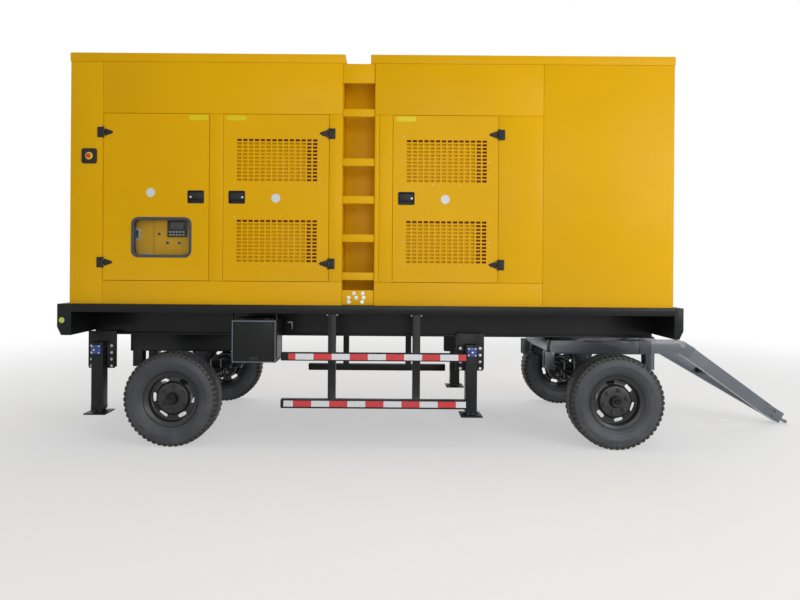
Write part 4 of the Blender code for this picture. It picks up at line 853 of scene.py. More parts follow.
# blank labels at their places: one disc and one strip on each near door
def buildStickers():
    wide, tall = door["stickerLong"]
    outer = nearFace - door["stickerThick"]
    for name, discX, discUp, stripX in (
            ("control_door", 0.395, 0.034, None), ("rear_engine_door_right", 0.440, -0.006, 0.022),
            ("front_engine_door_right", 0.440, -0.006, 0.022)):
        x0, x1, pin, way, side = doorSpots[name]
        shape = bmesh.new()
        addBar(shape, x0 + discX, (nearFace - 0.0001, outer), lockSpot(name)[1] + discUp,
               door["stickerRound"], 40)
        start = x0 + stripX if stripX else x1 - 0.050 - wide
        strip = roundedCorners(
            (start, doorHigh.z - 0.052), (start + wide * 1.35, doorHigh.z - 0.052 + tall), tall * 0.48, 6)
        addOutline(shape, strip, nearFace - 0.0001, outer, "Y", 0.0, 1)
        makePiece("sticker_" + name, shape, "blankSticker labelYellow", name, "canopy_paint")


buildWindow()
buildStopButton()
buildStickers()
print("window, stop button and stickers done")


# ladder recess in the near side
recess = {"plateTall": 0.130, "boltAcross": 0.017, "rungs": (0.247, 0.567, 0.890, 1.206, 1.621),
          "rungTall": 0.064, "header": 0.164, "barFront": -0.905, "barBack": -0.897, "boltRise": 0.0368,
          "boltRows": ((1, (-0.03348, 0.042)), (0, (-0.0764, -0.0135, 0.0494)), (-1, (-0.07492, 0.03608)))}


def buildRecess():
    low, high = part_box("ladder_recess")
    inX0, inX1 = recessX
    inside = nearFace + panel
    backY = high.y - 0.020
    tall = (low.z, high.z)
    shape = bmesh.new()
    for x in ((low.x, inX0), (inX1, high.x)):
        addBox(shape, x, (inside + 0.0004, high.y), tall, 0.0015)
    for x in ((inX0 - 0.004, inX0 + 0.0012), (inX1 - 0.0012, inX1 + 0.004)):
        addBox(shape, x, (inside - 0.002, backY + 0.004), tall)
    addBox(shape, (low.x + 0.002, high.x - 0.002), (backY, high.y - 0.0005), tall, 0.001)
    addBox(shape, (inX0, inX1), (nearFace + 0.040, backY), (low.z, low.z + 0.003))
    makePiece("recess_liner", shape, "canopyPaint", "chassis", "canopy_paint", "ladder_recess")
    shape = bmesh.new()
    bottom, front, back = deckHigh.z, recess["barFront"] - 0.0008, recess["barBack"]
    across = (inX0 + 0.0005, inX1 - 0.0005)
    for centre in recess["rungs"]:
        z0 = bottom + centre - recess["rungTall"] / 2
        z1 = z0 + recess["rungTall"]
        addBox(shape, across, (front, back), (z0, z1), 0.0022)
        addBox(shape, across, (back - 0.002, back + 0.040), (z1 - 0.0045, z1 - 0.0005), 0.0012)
        addBox(shape, across, (back - 0.002, back + 0.022), (z0 + 0.0005, z0 + 0.0045), 0.0012)
    plate = (bottom + 0.004, bottom + recess["plateTall"])
    for z in ((high.z - recess["header"], high.z - 0.001), plate):
        addBox(shape, across, (front, back), z, 0.0022)
    for row, places in recess["boltRows"]:
        for place in places:
            spotOn = ((inX0 + inX1) / 2 + place, front, (plate[0] + plate[1]) / 2 + row * recess["boltRise"])
            addHexBolt(shape, spotOn, (0, -1, 0), recess["boltAcross"], 0.006, 1)
    makePiece("recess_steps", shape, "canopyPaint zincSteel", "chassis", "canopy_paint")


buildRecess()
for node, name, width, steps in (
        ("rear_roof", "rear_roof_cover", 0.006, 3), ("front_roof", "front_roof_cover", 0.006, 3),
        ("rear_end_panel", "rear_end_panel_sheet", 0.0025, 2), ("front_end_panel", "front_end_panel_sheet",
        0.0025, 2)):
    makePiece(name, softCopy(node, width, steps, 40), "canopyPaint", "chassis", "canopy_paint", node)
print("recess, roofs and ends done")


# bright folded lip along the canopy's foot and screws along its seams
def buildCanopyTrim():
    shape = bmesh.new()
    start, end = rearX + 0.003, frontX - 0.003
    for side, runs in ((-1, ((start, recessX[0] - 0.001), (recessX[1] + 0.001, end))), (1, ((start, end),))):
        face = side * canopyHalf
        for x in runs:
            addBox(shape, x, (face + side * 0.0001, face + side * 0.0022),
                   (wallBottom + 0.001, wallBottom + canopy["lip"]), 0.0009)
        for x in (rearX + 0.030, frontSeam - 0.030, frontSeam + 0.030, frontX - 0.030):
            for z in (wallBottom + 0.065, seamLow - 0.060, seamHigh + 0.060, wallTop - 0.060):
                addScrewHead(shape, (x, face, z), (0, side, 0), canopy["screw"])
    makePiece("canopy_trim", shape, "canopyPaint", "chassis", "canopy_paint")


buildCanopyTrim()


# wheels and tyres, made once round +Z (outwards) and moved to each axle end
wheel = {"steps": 96, "handHoles": 6, "holeRing": 0.1605, "holeLong": 0.076, "holeTall": 0.031, "nuts": 6,
         "nutRing": 0.100, "nutAcross": 0.030, "nutTall": 0.016, "capRadius": 0.050, "lugs": 52,
         "lugWide": 0.027, "ribs": 24, "drum": 0.130}
turnStart = {"rear": (88, 178), "front": (75, 43)}              # nut and hand hole places, degrees


# cuts one bmesh out of another and frees the cutter
def punch(shape, cutter):
    items = []
    for part in (shape, cutter):
        mesh = bpy.data.meshes.new("cutting")
        part.to_mesh(mesh)
        part.free()
        items.append(bpy.data.objects.new("cutting", mesh))
        bpy.context.scene.collection.objects.link(items[-1])
    body, tool = items
    cut = body.modifiers.new("cut", "BOOLEAN")
    cut.object, cut.operation, cut.solver = tool, "DIFFERENCE", "EXACT"
    done = bmesh.new()
    done.from_mesh(body.evaluated_get(bpy.context.evaluated_depsgraph_get()).to_mesh())
    for item in items:
        bpy.data.objects.remove(item)
    return done


# matrix from a wheel's own frame to its place; seen from outside, x runs to the right on either side
def aroundAxle(name):
    axle = spot("wheel_spin_" + name)
    tyreLow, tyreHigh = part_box("tyre_" + name)
    turn = Matrix.Rotation(math.pi / 2, 4, "X")
    if axle.y > 0:
        turn = Matrix.Rotation(math.pi, 4, "Z") @ turn
    return Matrix.Translation((axle.x, (tyreLow.y + tyreHigh.y) / 2, axle.z)) @ turn


def rimShape(kind):
    half = (
        (0.118, 0.034), (0.128, 0.031), (0.138, 0.020), (0.1455, 0.0105), (0.158, 0.0075), (0.182, 0.0075),
        (0.1885, 0.012), (0.1905, 0.021), (0.1920, 0.044), (0.1965, 0.0595), (0.2050, 0.0665),
        (0.2145, 0.0690), (0.2205, 0.0735), (0.2250, 0.0788), (0.2300, 0.0800), (0.2328, 0.0772),
        (0.2325, 0.0740), (0.2285, 0.0710), (0.2235, 0.0690), (0.2036, 0.0635), (0.2030, 0.040))
    inner = [(r, -z) for r, z in reversed(half[9:])]
    back = [(0.1890, -0.010), (0.1830, -0.0035), (0.158, -0.0035), (0.1435, -0.0005), (0.134, 0.009),
            (0.125, 0.020), (0.116, 0.0225), (0.046, 0.0225)]
    shape, cutter = bmesh.new(), bmesh.new()
    addLathe(shape, [(0.046, 0.034)] + list(half) + inner + back, wheel["steps"], 0, True)
    nutTurn, holeTurn = (math.radians(degrees) for degrees in turnStart[kind])
    long, tall = wheel["holeLong"] / 2, wheel["holeTall"] / 2
    for angle, x, y in ringSpots(wheel["handHoles"], wheel["holeRing"], holeTurn):
        before = len(cutter.verts)
        addOutline(cutter, roundedCorners((-tall, -long), (tall, long), tall * 0.9, 5), -0.05, 0.05, "Z")
        moveNew(cutter, before, Matrix.Translation((x, y, 0)) @ Matrix.Rotation(angle, 4, "Z"))
    shape = punch(shape, cutter)
    for angle, x, y in ringSpots(wheel["nuts"], wheel["nutRing"], nutTurn):
        addBar(shape, x, y, (0.030, 0.0375), 0.0225, 20, 0.0012, 0, tip=0.0190)
        addHexBolt(shape, (x, y, 0.0370), (0, 0, 1), wheel["nutAcross"], wheel["nutTall"], 1, False, 0.008)
    cap, drum = wheel["capRadius"], wheel["drum"]
    reach = 0.084 if kind == "rear" else 0.066
    addLathe(shape, ((0.0, 0.020), (cap + 0.003, 0.020), (cap + 0.003, 0.040), (cap, 0.042),
                     (cap - 0.003, reach - 0.012), (cap - 0.008, reach - 0.005), (cap - 0.015, reach - 0.003),
                     (cap - 0.022, reach - 0.006), (0.0, reach - 0.007)), 48, 2)
    if kind == "front":
        addLathe(shape, ((0.0, reach - 0.009), (0.017, reach - 0.009), (0.016, reach), (0.011, reach + 0.005),
                         (0.0, reach + 0.006)), 32, 2)
    addLathe(shape, ((0.040, 0.0215), (0.100, 0.0215), (drum - 0.004, 0.010), (drum, 0.002), (drum, -0.030),
                     (drum + 0.004, -0.033), (drum + 0.004, -0.078), (drum - 0.010, -0.080), (0.040, -0.060)),
             64, 3, True)
    valve = holeTurn + math.radians(30)
    x, y = 0.184 * math.cos(valve), 0.184 * math.sin(valve)
    addRod(shape, (x, y, 0.006), (x * 0.97, y * 0.97, 0.046), 0.0042, 12, 0.001, 1)
    return shape


def tyreShape():
    radius = spot("wheel_spin_front_right").z - 0.0003
    crown, floor = radius - 0.0006, radius - 0.0065
    side = ((0.2042, 0.0615), (0.2240, 0.0675), (0.2332, 0.0722), (0.2350, 0.0765), (0.2395, 0.0815),
            (0.2420, 0.0826), (0.2470, 0.0862), (0.2560, 0.0920), (0.2575, 0.0938), (0.2600, 0.0940),
            (0.2640, 0.0968), (0.2760, 0.1012), (0.2900, 0.1040), (0.3040, 0.1056), (0.3060, 0.1066),
            (0.3100, 0.1068), (0.3180, 0.1066), (0.3205, 0.1056), (0.3340, 0.1038), (0.3470, 0.1002),
            (0.3580, 0.0962), (0.3590, 0.0968), (0.3625, 0.0955), (0.3635, 0.0942), (0.3720, 0.0900),
            (floor - 0.006, 0.0850), (floor, 0.0740))
    tread = ((floor, 0.0400), (crown, 0.0392), (crown, 0.0190), (floor, 0.0178), (floor, 0.0120),
             (crown, 0.0108))
    half = list(side) + list(tread)
    inside = [(0.2042, 0.050), (0.2300, 0.060), (0.300, 0.092), (0.360, 0.080), (0.378, 0.040)]
    profile = half + [(r, -z) for r, z in reversed(half)] + [(r, -z) for r, z in inside] + inside[::-1]
    shape = bmesh.new()
    addLathe(shape, profile, wheel["steps"], 0, True)
    lug = ((floor - 0.004, 0.0445), (radius - 0.0002, 0.0440), (radius, 0.0700), (radius - 0.0012, 0.0800),
           (radius - 0.0055, 0.0875), (radius - 0.016, 0.0930), (0.3660, 0.0972), (0.3640, 0.0935),
           (0.3760, 0.0820))
    half = wheel["lugWide"] / 2
    for flip, first in ((1, 0.0), (-1, math.pi / wheel["lugs"])):
        for angle, x, y in ringSpots(wheel["lugs"], radius, first):
            before = len(shape.verts)
            addOutline(shape, [(r, z * flip) for r, z in lug], -half, half, "Y", 0.0012, 1, 1)
            moveNew(shape, before, Matrix.Rotation(angle, 4, "Z"))
    for angle, x, y in ringSpots(wheel["ribs"], radius):       # short ribs of the rim guard
        addBox(shape, (0.2665, 0.2745), (-0.0035, 0.0035), (0.094, 0.1012), 0.0008, 0,
               Matrix.Rotation(angle, 4, "Z"), 1)
    return shape


def keptMesh(shape):
    mesh = bpy.data.meshes.new("wheel_master")
    shape.to_mesh(mesh)
    shape.free()
    return mesh


rims = {kind: keptMesh(rimShape(kind)) for kind in turnStart}
tyre = keptMesh(tyreShape())
for name in wheelNames:
    for label, master, node, finishNames, slotName in (
            ("rim_", rims[name.split("_")[0]], "wheel_rim_", "wheelPaint wheelPaint chassisPaint bareSteel",
             "wheel_paint"),
            ("tyre_tread_", tyre, "tyre_", "tyreRubber tyreTread", "tyre_rubber")):
        shape = bmesh.new()
        shape.from_mesh(master)
        moveVerts(shape, shape.verts, aroundAxle(name))
        makePiece(label + name, shape, finishNames, "wheel_" + name, slotName, node + name, smooth=30)
print("wheels done")


# springs, axles and turntable
spring = {"leaves": 7, "thick": 0.0085, "reach": 0.455, "rise": 0.190, "wide": 0.071, "eye": 0.0225,
          "flat": 0.045, "shorter": 0.135, "clipAt": 0.255, "clampAt": 0.052, "clampRod": 0.008,
          "padTall": 0.014}


# height of a leaf over its middle at a distance from it
def springBend(distance):
    flat, reach = spring["flat"], spring["reach"]
    return (spring["rise"] - 0.006) * max(0.0, (abs(distance) - flat) / (reach - flat)) ** 1.6


def buildSpring(name):
    low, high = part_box("leaf_spring_" + name)
    x0, y0, seat = (low.x + high.x) / 2, (low.y + high.y) / 2, low.z
    half, thick, rod = spring["wide"] / 2, spring["thick"], spring["clampRod"]
    shape = bmesh.new()
    for leaf in range(spring["leaves"]):
        # the longest leaf is the top one, and each lower leaf is shorter
        rank = spring["leaves"] - 1 - leaf
        reach = spring["reach"] * (1.0 if rank < 2 else 1.0 - spring["shorter"] * (rank - 1))
        lift = seat + leaf * thick
        offsets = [step / 14 * reach for step in range(-14, 15)]
        line = [(x0 + offset, lift + springBend(offset)) for offset in offsets]
        top = [(x, z + thick - 0.0009) for x, z in line]
        addOutline(shape, line + top[::-1], *about(y0, half - (0.0 if rank else 0.0004)), "Y", 0.0014, 0, 1)
    eyeZ, topZ = seat + spring["rise"], seat + spring["leaves"] * thick
    for end in (-1, 1):
        x = x0 + end * spring["reach"]
        addBar(shape, x, about(y0, half), eyeZ, spring["eye"], 28, 0.002)
        addBar(shape, x, about(y0, half + 0.0015), eyeZ, 0.0135, 20, 0.0008, 1)
        x = x0 + end * spring["clipAt"]                        # rebound clip
        z = seat + springBend(spring["clipAt"])
        addBox(shape, about(x, 0.011), about(y0, half + 0.0045), (z + 0.011, z + 0.067), 0.002)
        x = x0 + end * spring["clampAt"]                       # axle clamp with its nuts
        for side in (-1, 1):
            y = y0 + side * (half + rod + 0.001)
            addBar(shape, x, y, (seat - 0.112, topZ + spring["padTall"] + 0.002), rod, 14, 0.0012, 1)
            addHexBolt(shape, (x, y, seat - 0.105), (0, 0, -1), 0.024, 0.014, 1)
        addBar(shape, x, about(y0, half + 2 * rod), topZ + spring["padTall"] + 0.004, rod, 14, 0.002, 1)
    addBox(shape, about(x0, 0.070), about(y0, half + 0.002), (topZ - 0.001,
                                                              topZ + spring["padTall"] - 0.003), 0.003)
    addBox(shape, about(x0, 0.075), about(y0, half + 0.022), (seat - 0.104, seat - 0.0915), 0.003)
    makePiece("spring_pack_" + name, shape, "chassisPaint bareSteel",
              "chassis" if name[:4] == "rear" else "turntable", "chassis_paint", "leaf_spring_" + name)


# square beam with bolted backing plates, hub stubs and a brake shaft with its lever
def buildAxle(kind, body):
    low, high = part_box(kind + "_axle")
    x, z = (low.x + high.x) / 2, (low.z + high.z) / 2
    half = (high.z - low.z) / 2
    shape = bmesh.new()
    addBox(shape, about(x, half), (-0.600, 0.600), about(z, half), 0.009, 0, None, 3)
    for side in (-1, 1):
        for start, end, radius, sides, soft, index, tip in (
                (0.596, 0.700, 0.050, 32, 0.004, 0, 0.040), (0.690, high.y, 0.0295, 24, 0.003, 1, None),
                (0.712, 0.724, 0.128, 48, 0.003, 0, None)):
            addBar(shape, x, (side * start, side * end), z, radius, sides, soft, index, tip=tip)
        for angle, dx, dz in ringSpots(6, 0.075):
            addHexBolt(shape, (x + dx, side * 0.712, z + dz), (0, -side, 0), 0.018, 0.009, 1)
        addBar(shape, x + 0.075, (side * 0.200, side * 0.700), z + 0.035, 0.011, 16, 0.002, 1)
        addBox(shape, (x + 0.040, x + 0.085), about(side * 0.235, 0.005), (z + 0.010, z + 0.055), 0.003)
    makePiece(kind + "_axle_beam", shape, "chassisPaint bareSteel", body, "chassis_paint", kind + "_axle")


for name in wheelNames:
    buildSpring(name)
buildAxle("rear", "chassis")
buildAxle("front", "turntable")

earsFrom = 1.792                  # where the turntable's side members meet its ears
endPlate = 0.90                   # the deck's end faces begin past here
softened = (
    ("deck_frame", "deck", "chassisPaint", "chassis", "chassis_paint", 0.0030),
    ("main_beam_right", "main_beam_near", "chassisPaint", "chassis", "chassis_paint", 0.0025),
    ("main_beam_left", "main_beam_far", "chassisPaint", "chassis", "chassis_paint", 0.0025),
    ("turntable_frame", "turntable", "turntablePaint drawbarPaint", "turntable", "chassis_paint", 0.0025),
    ("slewing_ring", "ball_ring", "bareSteel", "chassis", "bare_steel", 0.0020),
    ("drawbar", "drawbar_arms", "drawbarPaint", "drawbar", "chassis_paint", 0.0035),
    ("tow_eye", "towing_ring", "bareSteel", "drawbar", "cast_metal", 0.0050),
    ("toolbox_body", "toolbox_shell", "chassisPaint", "chassis", "chassis_paint", 0.0025),
    ("toolbox_door", "toolbox_lid_plate", "chassisPaint", "toolbox_lid", "chassis_paint", 0.0025),
    ("base_fuel_tank", "fuel_tank", "chassisPaint", "chassis", "chassis_paint", 0.0060),
    ("control_cabinet", "cabinet_shell", "canopyPaint", "chassis", "canopy_paint", 0.0040),
)
for node, name, finish, body, slotName, width in softened:
    shape = softCopy(node, width)
    # the deck's end faces are drawn in a little, so that reflectors can stand on them
    if node == "deck_frame":
        for vert in shape.verts:
            if abs(vert.co.y) > endPlate:
                vert.co.y = math.copysign(endPlate + (abs(vert.co.y) - endPlate) * 0.93, vert.co.y)
    # the ears in front of the joint keep the drawbar's lighter finish; the frame behind them has the darker
    # copy, painted shade under the deck
    if node == "turntable_frame":
        bmesh.ops.bisect_plane(shape, geom=shape.verts[:] + shape.edges[:] + shape.faces[:], dist=1e-5,
                               plane_co=(earsFrom, 0, 0), plane_no=(1, 0, 0))
        tag([part for part in shape.faces if part.calc_center_median().x > earsFrom], 1)
    makePiece(name, shape, finish, body, slotName, node)
print("chassis members done")


# landing jacks
jack = {"tube": 0.100, "bolt": 0.014, "columns": (-0.088, 0.088), "rows": (0.62, 0.68, 0.74, 0.80),
        "gussets": (0.606, 0.808), "collar": 0.0525, "gearbox": 0.082, "gearboxZ": 0.782,
        "gearboxDeep": 0.026, "legTube": 0.0415}


def buildJack(name):
    housingLow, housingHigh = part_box("jack_housing_" + name)
    low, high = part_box("jack_leg_" + name)
    x, y = (low.x + high.x) / 2, (low.y + high.y) / 2
    side = 1 if y > 0 else -1
    wing = (housingLow.y if side > 0 else housingHigh.y) + side * 0.012
    shape = softCopy("jack_housing_" + name, 0.0025)
    for column in jack["columns"]:
        for z in jack["rows"]:
            addHexBolt(shape, (x + column, wing, z), (0, side, 0), jack["bolt"], 0.0105, 1, True, 0.005)
    for way in (-1, 1):                                      # gussets between the tube and its wings
        start = x + way * (jack["tube"] / 2 - 0.001)
        gusset = [(start, wing - side * 0.001), (start + way * 0.029, wing - side * 0.001),
                  (start, wing + side * 0.030)]
        for z in jack["gussets"]:
            addOutline(shape, gusset, z, z + 0.006, "Z")
    for z in (housingLow.z + 0.006, housingLow.z + 0.024):   # collar at the mouth
        addBox(shape, about(x, jack["collar"]), about(y, jack["collar"]), (z, z + 0.008), 0.0015)
    outer = y + side * jack["tube"] / 2
    hub, half, z = outer + side * jack["gearboxDeep"], jack["gearbox"] / 2, jack["gearboxZ"]
    addBox(shape, about(x, half), (outer - side * 0.002, hub), about(z, half), 0.006, 2, None, 3)
    for dx in (-1, 1):
        for dz in (-1, 1):
            addHexBolt(shape, (x + dx * half * 0.72, hub, z + dz * half * 0.72), (0, side, 0), 0.0125,
                       0.0055, 1, False)
    addBar(shape, x, (hub - side * 0.001, hub + side * 0.010), z, 0.017, 24, 0.0015, 2)
    addBar(shape, x, (hub, hub + side * 0.034), z, 0.0095, 6, 0.001, 1)
    makePiece("jack_tube_" + name, shape, "chassisPaint zincSteel gearboxBlue", "chassis", "chassis_paint",
              "jack_housing_" + name)
    shape = softCopy("jack_leg_" + name, 0.002)
    foot, half = low.z + 0.011, (high.x - low.x) / 2
    for way in (-1, 1):                                      # ribs on the foot plate
        for axis, along, across in (("Y", x, y), ("X", y, x)):
            start = along + way * jack["legTube"]
            rib = [(start, foot), (along + way * half * 0.92, foot), (start, foot + 0.019)]
            addOutline(shape, rib, *about(across, 0.004), axis)
    makePiece("jack_foot_" + name, shape, "chassisPaint", "jack_" + name, "chassis_paint", "jack_leg_" + name)


for name in jackNames:
    buildJack(name)
print("jacks done")


# side guards with reflective tape
guard = {
    "tapeTall": 0.050,
    "segment": 0.1515,
    "thick": 0.0005,
    "outer": 0.925,
    "railZ": (0.3715, 0.7655),
    "runs": ((0.3735, 0.024, 0.080, 1), (0.7675, 0.062, 0.060, 0)),  # middle z, start, first length, colour
}


# alternating red and white lengths on the near side's two rails, one piece each
def buildTape():
    low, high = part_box("side_guard_right")
    shape = bmesh.new()
    for middle, start, length, colour in guard["runs"]:
        x = low.x + start
        while x < high.x - 0.004:
            end = min(x + length, high.x - 0.001)
            addBox(shape, (x, end - 0.0008), (low.y - guard["thick"], low.y + 0.0001),
                   about(middle, guard["tapeTall"] / 2), 0.0, colour)
            x, length, colour = end, guard["segment"], 1 - colour
    makePiece("guard_tape", shape, "tapeRed tapeWhite", "chassis", "chassis_paint")


# bolted brackets that hang the guard posts from the deck, and rail end caps
def buildGuardBrackets():
    shape = bmesh.new()
    for sideName, side in (("right", -1), ("left", 1)):
        low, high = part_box("side_guard_" + sideName)
        outer, under = side * guard["outer"], deckHigh.z - 0.0757
        for x in (low.x + 0.425, high.x - 0.419):
            addBox(shape, about(x, 0.048), (outer - side * 0.062, outer - side * 0.0035),
                   (under + 0.0002, under + 0.0082), 0.0015)
            for dx in (-0.038, 0.038):
                addHexBolt(shape, (x + dx, outer - side * 0.030, under), (0, 0, -1), 0.016, 0.009, 1)
        for x, way in ((low.x, -1), (high.x, 1)):
            for z in guard["railZ"]:
                addBox(shape, (x + way * 0.0002, x + way * 0.003),
                       (outer - side * 0.054, outer - side * 0.006), about(z, 0.026), 0.0015, 2)
    makePiece("guard_fittings", shape, "chassisPaint zincSteel blackPlastic", "chassis", "chassis_paint")


for sideName in ("right", "left"):
    makePiece("guard_rails_" + sideName, softCopy("side_guard_" + sideName, 0.004, 3), "chassisPaint",
              "chassis", "chassis_paint", "side_guard_" + sideName)
buildTape()
buildGuardBrackets()
print("guards done")


# reflectors, toolbox lid, drawbar pins and ring bolts
reflector = {"in": 0.040, "z": 1.060, "radius": 0.027, "rim": 0.0035}


def buildReflectors():
    shape = bmesh.new()
    x, radius = deckLow.x + reflector["in"], reflector["radius"]
    for side in (-1, 1):
        for under, size, sides, soft, index in (
                (0.0006, radius, 40, 0.0010, 1), (0.0001, radius - reflector["rim"], 32, 0.0006, 0)):
            addBar(shape, x, (side * 0.940, side * (deckHigh.y - under)), reflector["z"], size, sides,
                   soft, index)
    makePiece("round_reflectors", shape, "lensAmber blackPlastic", "chassis", "black_plastic")


toolbox = {"rim": 0.009, "proud": 0.0045, "latch": (0.070, 0.034), "latchUp": 0.032, "clipAt": 0.026,
           "web": -0.526}


# folded rim and turn latch on the lid, and a clip beside the box
def buildToolboxTrim():
    low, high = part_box("toolbox_door")
    face, rim, (wide, tall) = low.y, toolbox["rim"], toolbox["latch"]
    area = (low.x, high.x, low.z, spot("toolbox_door_lift").z - 0.014)
    outer = roundedCorners((low.x + 0.001, low.z + 0.001), (high.x - 0.001, area[3]), 0.006)
    shape = bmesh.new()
    addFrame(shape, outer, inset(area, rim, 0.004, 4), face - toolbox["proud"], face + 0.001)
    x, z = (low.x + high.x) / 2, low.z + toolbox["latchUp"]
    addBox(shape, about(x, wide / 2), (face - 0.003, face + 0.001), about(z, tall / 2), 0.002, 1)
    addBar(shape, x, (face - 0.001, face - 0.009), z, 0.010, 24, 0.002, 1)
    addBox(shape, (x - 0.004, x + 0.026), (face - 0.015, face - 0.008), about(z, 0.005), 0.002, 1)
    for side in (-1, 1):
        addScrewHead(shape, (x + side * wide * 0.4, face - 0.003, z), (0, -1, 0), 0.0035, 1)
    makePiece("toolbox_rim", shape, "drawbarPaint blackPlastic", "toolbox_lid", "chassis_paint")
    shape = bmesh.new()
    x, web = high.x + toolbox["clipAt"], toolbox["web"]
    addBox(shape, (x, x + 0.052), about(web, 0.004), (1.006, 1.022), 0.001)
    addBox(shape, (x + 0.040, x + 0.052), (web - 0.010, web + 0.004), (0.950, 1.022), 0.001)
    addBar(shape, x + 0.012, (web, web - 0.014), 1.014, 0.008, 12, 0.001)
    makePiece("cable_clip", shape, "bareSteel", "chassis", "bare_steel")


hitch = {"pinHead": 0.026, "pinThick": 0.009, "cotter": 0.0022, "tieAt": 0.62, "noseBolts": (1.245, 1.330),
         "ringBolts": 20, "ringRadius": 0.470, "boltAcross": 0.019, "outer": 0.500, "jointZ": (0.753, 0.867),
         "slope": 32}


# a point at a distance down the drawbar's slope from its hinge
def alongDrawbar(distance, y, lift):
    pivot, slope = spot("drawbar_lift"), math.radians(hitch["slope"])
    return Vector((pivot.x + distance * math.cos(slope) + lift * math.sin(slope), y,
                   pivot.z - distance * math.sin(slope) + lift * math.cos(slope)))


# hinge pins with washers and split pins, a cross tie with its welds, nose bolts and ring bolts
def buildHitch():
    pivot, head, outer = spot("drawbar_lift"), hitch["pinHead"], hitch["outer"]
    shape = bmesh.new()
    for side in (-1, 1):
        for thick, size, sides, soft in ((0.003, 1.15, 32, 0.0008), (hitch["pinThick"], 0.62, 28, 0.002)):
            addBar(shape, pivot.x, (side * outer, side * (outer + thick)), pivot.z, head * size, sides,
                   soft, 1)
        addBar(shape, pivot.x, side * (outer + 0.006), about(pivot.z, 0.022), hitch["cotter"], 8, 0, 1)
        addBox(shape, about(earsFrom, 0.0015), (side * outer, side * (outer + 0.0006)), hitch["jointZ"])
    makePiece("hinge_pins", shape, "blackPlastic bareSteel", "turntable", "bare_steel")
    shape = bmesh.new()
    tie = hitch["tieAt"]
    half = 0.4505 - 0.422 * (tie - 0.085) / 1.175            # half the gap between the arms there
    addRod(shape, alongDrawbar(tie, -half, 0), alongDrawbar(tie, half, 0), 0.024, 28, 0.001)
    for side in (-1, 1):
        weld = alongDrawbar(tie, side * (half - 0.031), 0)
        addRod(shape, weld, weld - Vector((0, side * 0.006, 0)), 0.031, 28, 0.002)
        for lift in (-0.028, 0.028):
            for back in hitch["noseBolts"]:
                addHexBolt(shape, alongDrawbar(back, side * 0.0600, lift), (0, side, 0), 0.016, 0.009, 1)
    makePiece("drawbar_fittings", shape, "chassisPaint bareSteel", "drawbar", "chassis_paint")
    shape = bmesh.new()
    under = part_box("slewing_ring")[0].z + 0.0002
    for angle, x, y in ringSpots(hitch["ringBolts"], hitch["ringRadius"], math.pi / hitch["ringBolts"]):
        addHexBolt(shape, (spot("turntable_yaw").x + x, y, under), (0, 0, -1), hitch["boltAcross"], 0.010)
    makePiece("ring_bolts", shape, "zincSteel", "turntable", "bare_steel")


# controls behind the window: places from the pane's left top corner, then width and height
controls = {"meter": (0.018, 0.143, 0.070, 0.095), "dial": (0.018, 0.143, 0.048, 0.066),
            "controller": (0.363, 0.096, 0.165, 0.138), "strip": (0.111, 0.309, 0.106, 0.010), "seam": 0.164,
            "knobs": ((0.212, 0.138), (0.283, 0.213), (0.381, 0.213)), "knob": 0.011}


def buildControls():
    paneLow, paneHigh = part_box("window_pane")
    low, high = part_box("control_cabinet")
    left, top, face = paneLow.x, paneHigh.z, low.y
    shape = bmesh.new()
    for part, deep, soft, index in (("meter", 0.020, 0.004, 0), ("dial", 0.0215, 0.001, 1),
                                    ("controller", 0.018, 0.005, 1), ("strip", 0.003, 0.0008, 0)):
        dx, dz, wide, tall = controls[part]
        addBox(shape, about(left + dx, wide / 2), (face - deep, face + 0.001), about(top - dz, tall / 2),
               soft, index)
    x, z = left + controls["meter"][0], top - controls["meter"][1] - 0.02
    addBar(shape, x, (face - 0.020, face - 0.025), z, 0.006, 16, 0.001, 2)
    # the controller's blank display and two rows of keys
    x, z = left + controls["controller"][0], top - controls["controller"][1]
    addBox(shape, about(x, 0.052), (face - 0.0195, face - 0.0175), (z - 0.004, z + 0.054), 0.001, 3)
    for row in range(2):
        for column in range(5):
            addBox(shape, about(x - 0.056 + column * 0.028, 0.008), (face - 0.0205, face - 0.0175),
                   about(z - 0.026 - row * 0.024, 0.006), 0.0015)
    for dx, dz in controls["knobs"]:
        x, z, radius = left + dx, top - dz, controls["knob"]
        addBar(shape, x, (face, face - 0.004), z, radius * 1.25, 24, 0.001, 2)
        addBar(shape, x, (face - 0.003, face - 0.018), z, radius, 24, 0.003, 1)
    # the cabinet door's own seam, hinges and key locks
    for x in (low.x + 0.020, left + controls["seam"], high.x - 0.020):
        addBox(shape, about(x, 0.0020), (face - 0.0008, face + 0.001), (low.z + 0.04, high.z - 0.03), 0.0, 4)
    for z in (low.z + 0.16, (low.z + high.z) / 2, high.z - 0.16):
        addBar(shape, low.x + 0.013, face - 0.004, about(z, 0.030), 0.005, 14, 0.001, 2)
        addBar(shape, high.x - 0.050, (face, face - 0.006), z, 0.010, 20, 0.0015, 2)
    for number in range(3):                                  # breakers low down
        x = low.x + 0.14 + number * 0.17
        addBox(shape, (x, x + 0.11), (face - 0.022, face + 0.001), (low.z + 0.12, low.z + 0.28), 0.004, 1)
        addBox(shape, (x + 0.040, x + 0.070), (face - 0.032, face - 0.020), (low.z + 0.18, low.z + 0.215),
               0.003, 2)
    makePiece("control_fittings", shape, "gaugeFace blackPlastic zincSteel displayGlass blackPlastic",
              "chassis", "black_plastic")


louvre = {"slots": 9, "wide": 1.298, "tall": 1.30, "slant": 0.6, "deep": 0.017, "sheet": 0.0025,
          "second": 0.026}


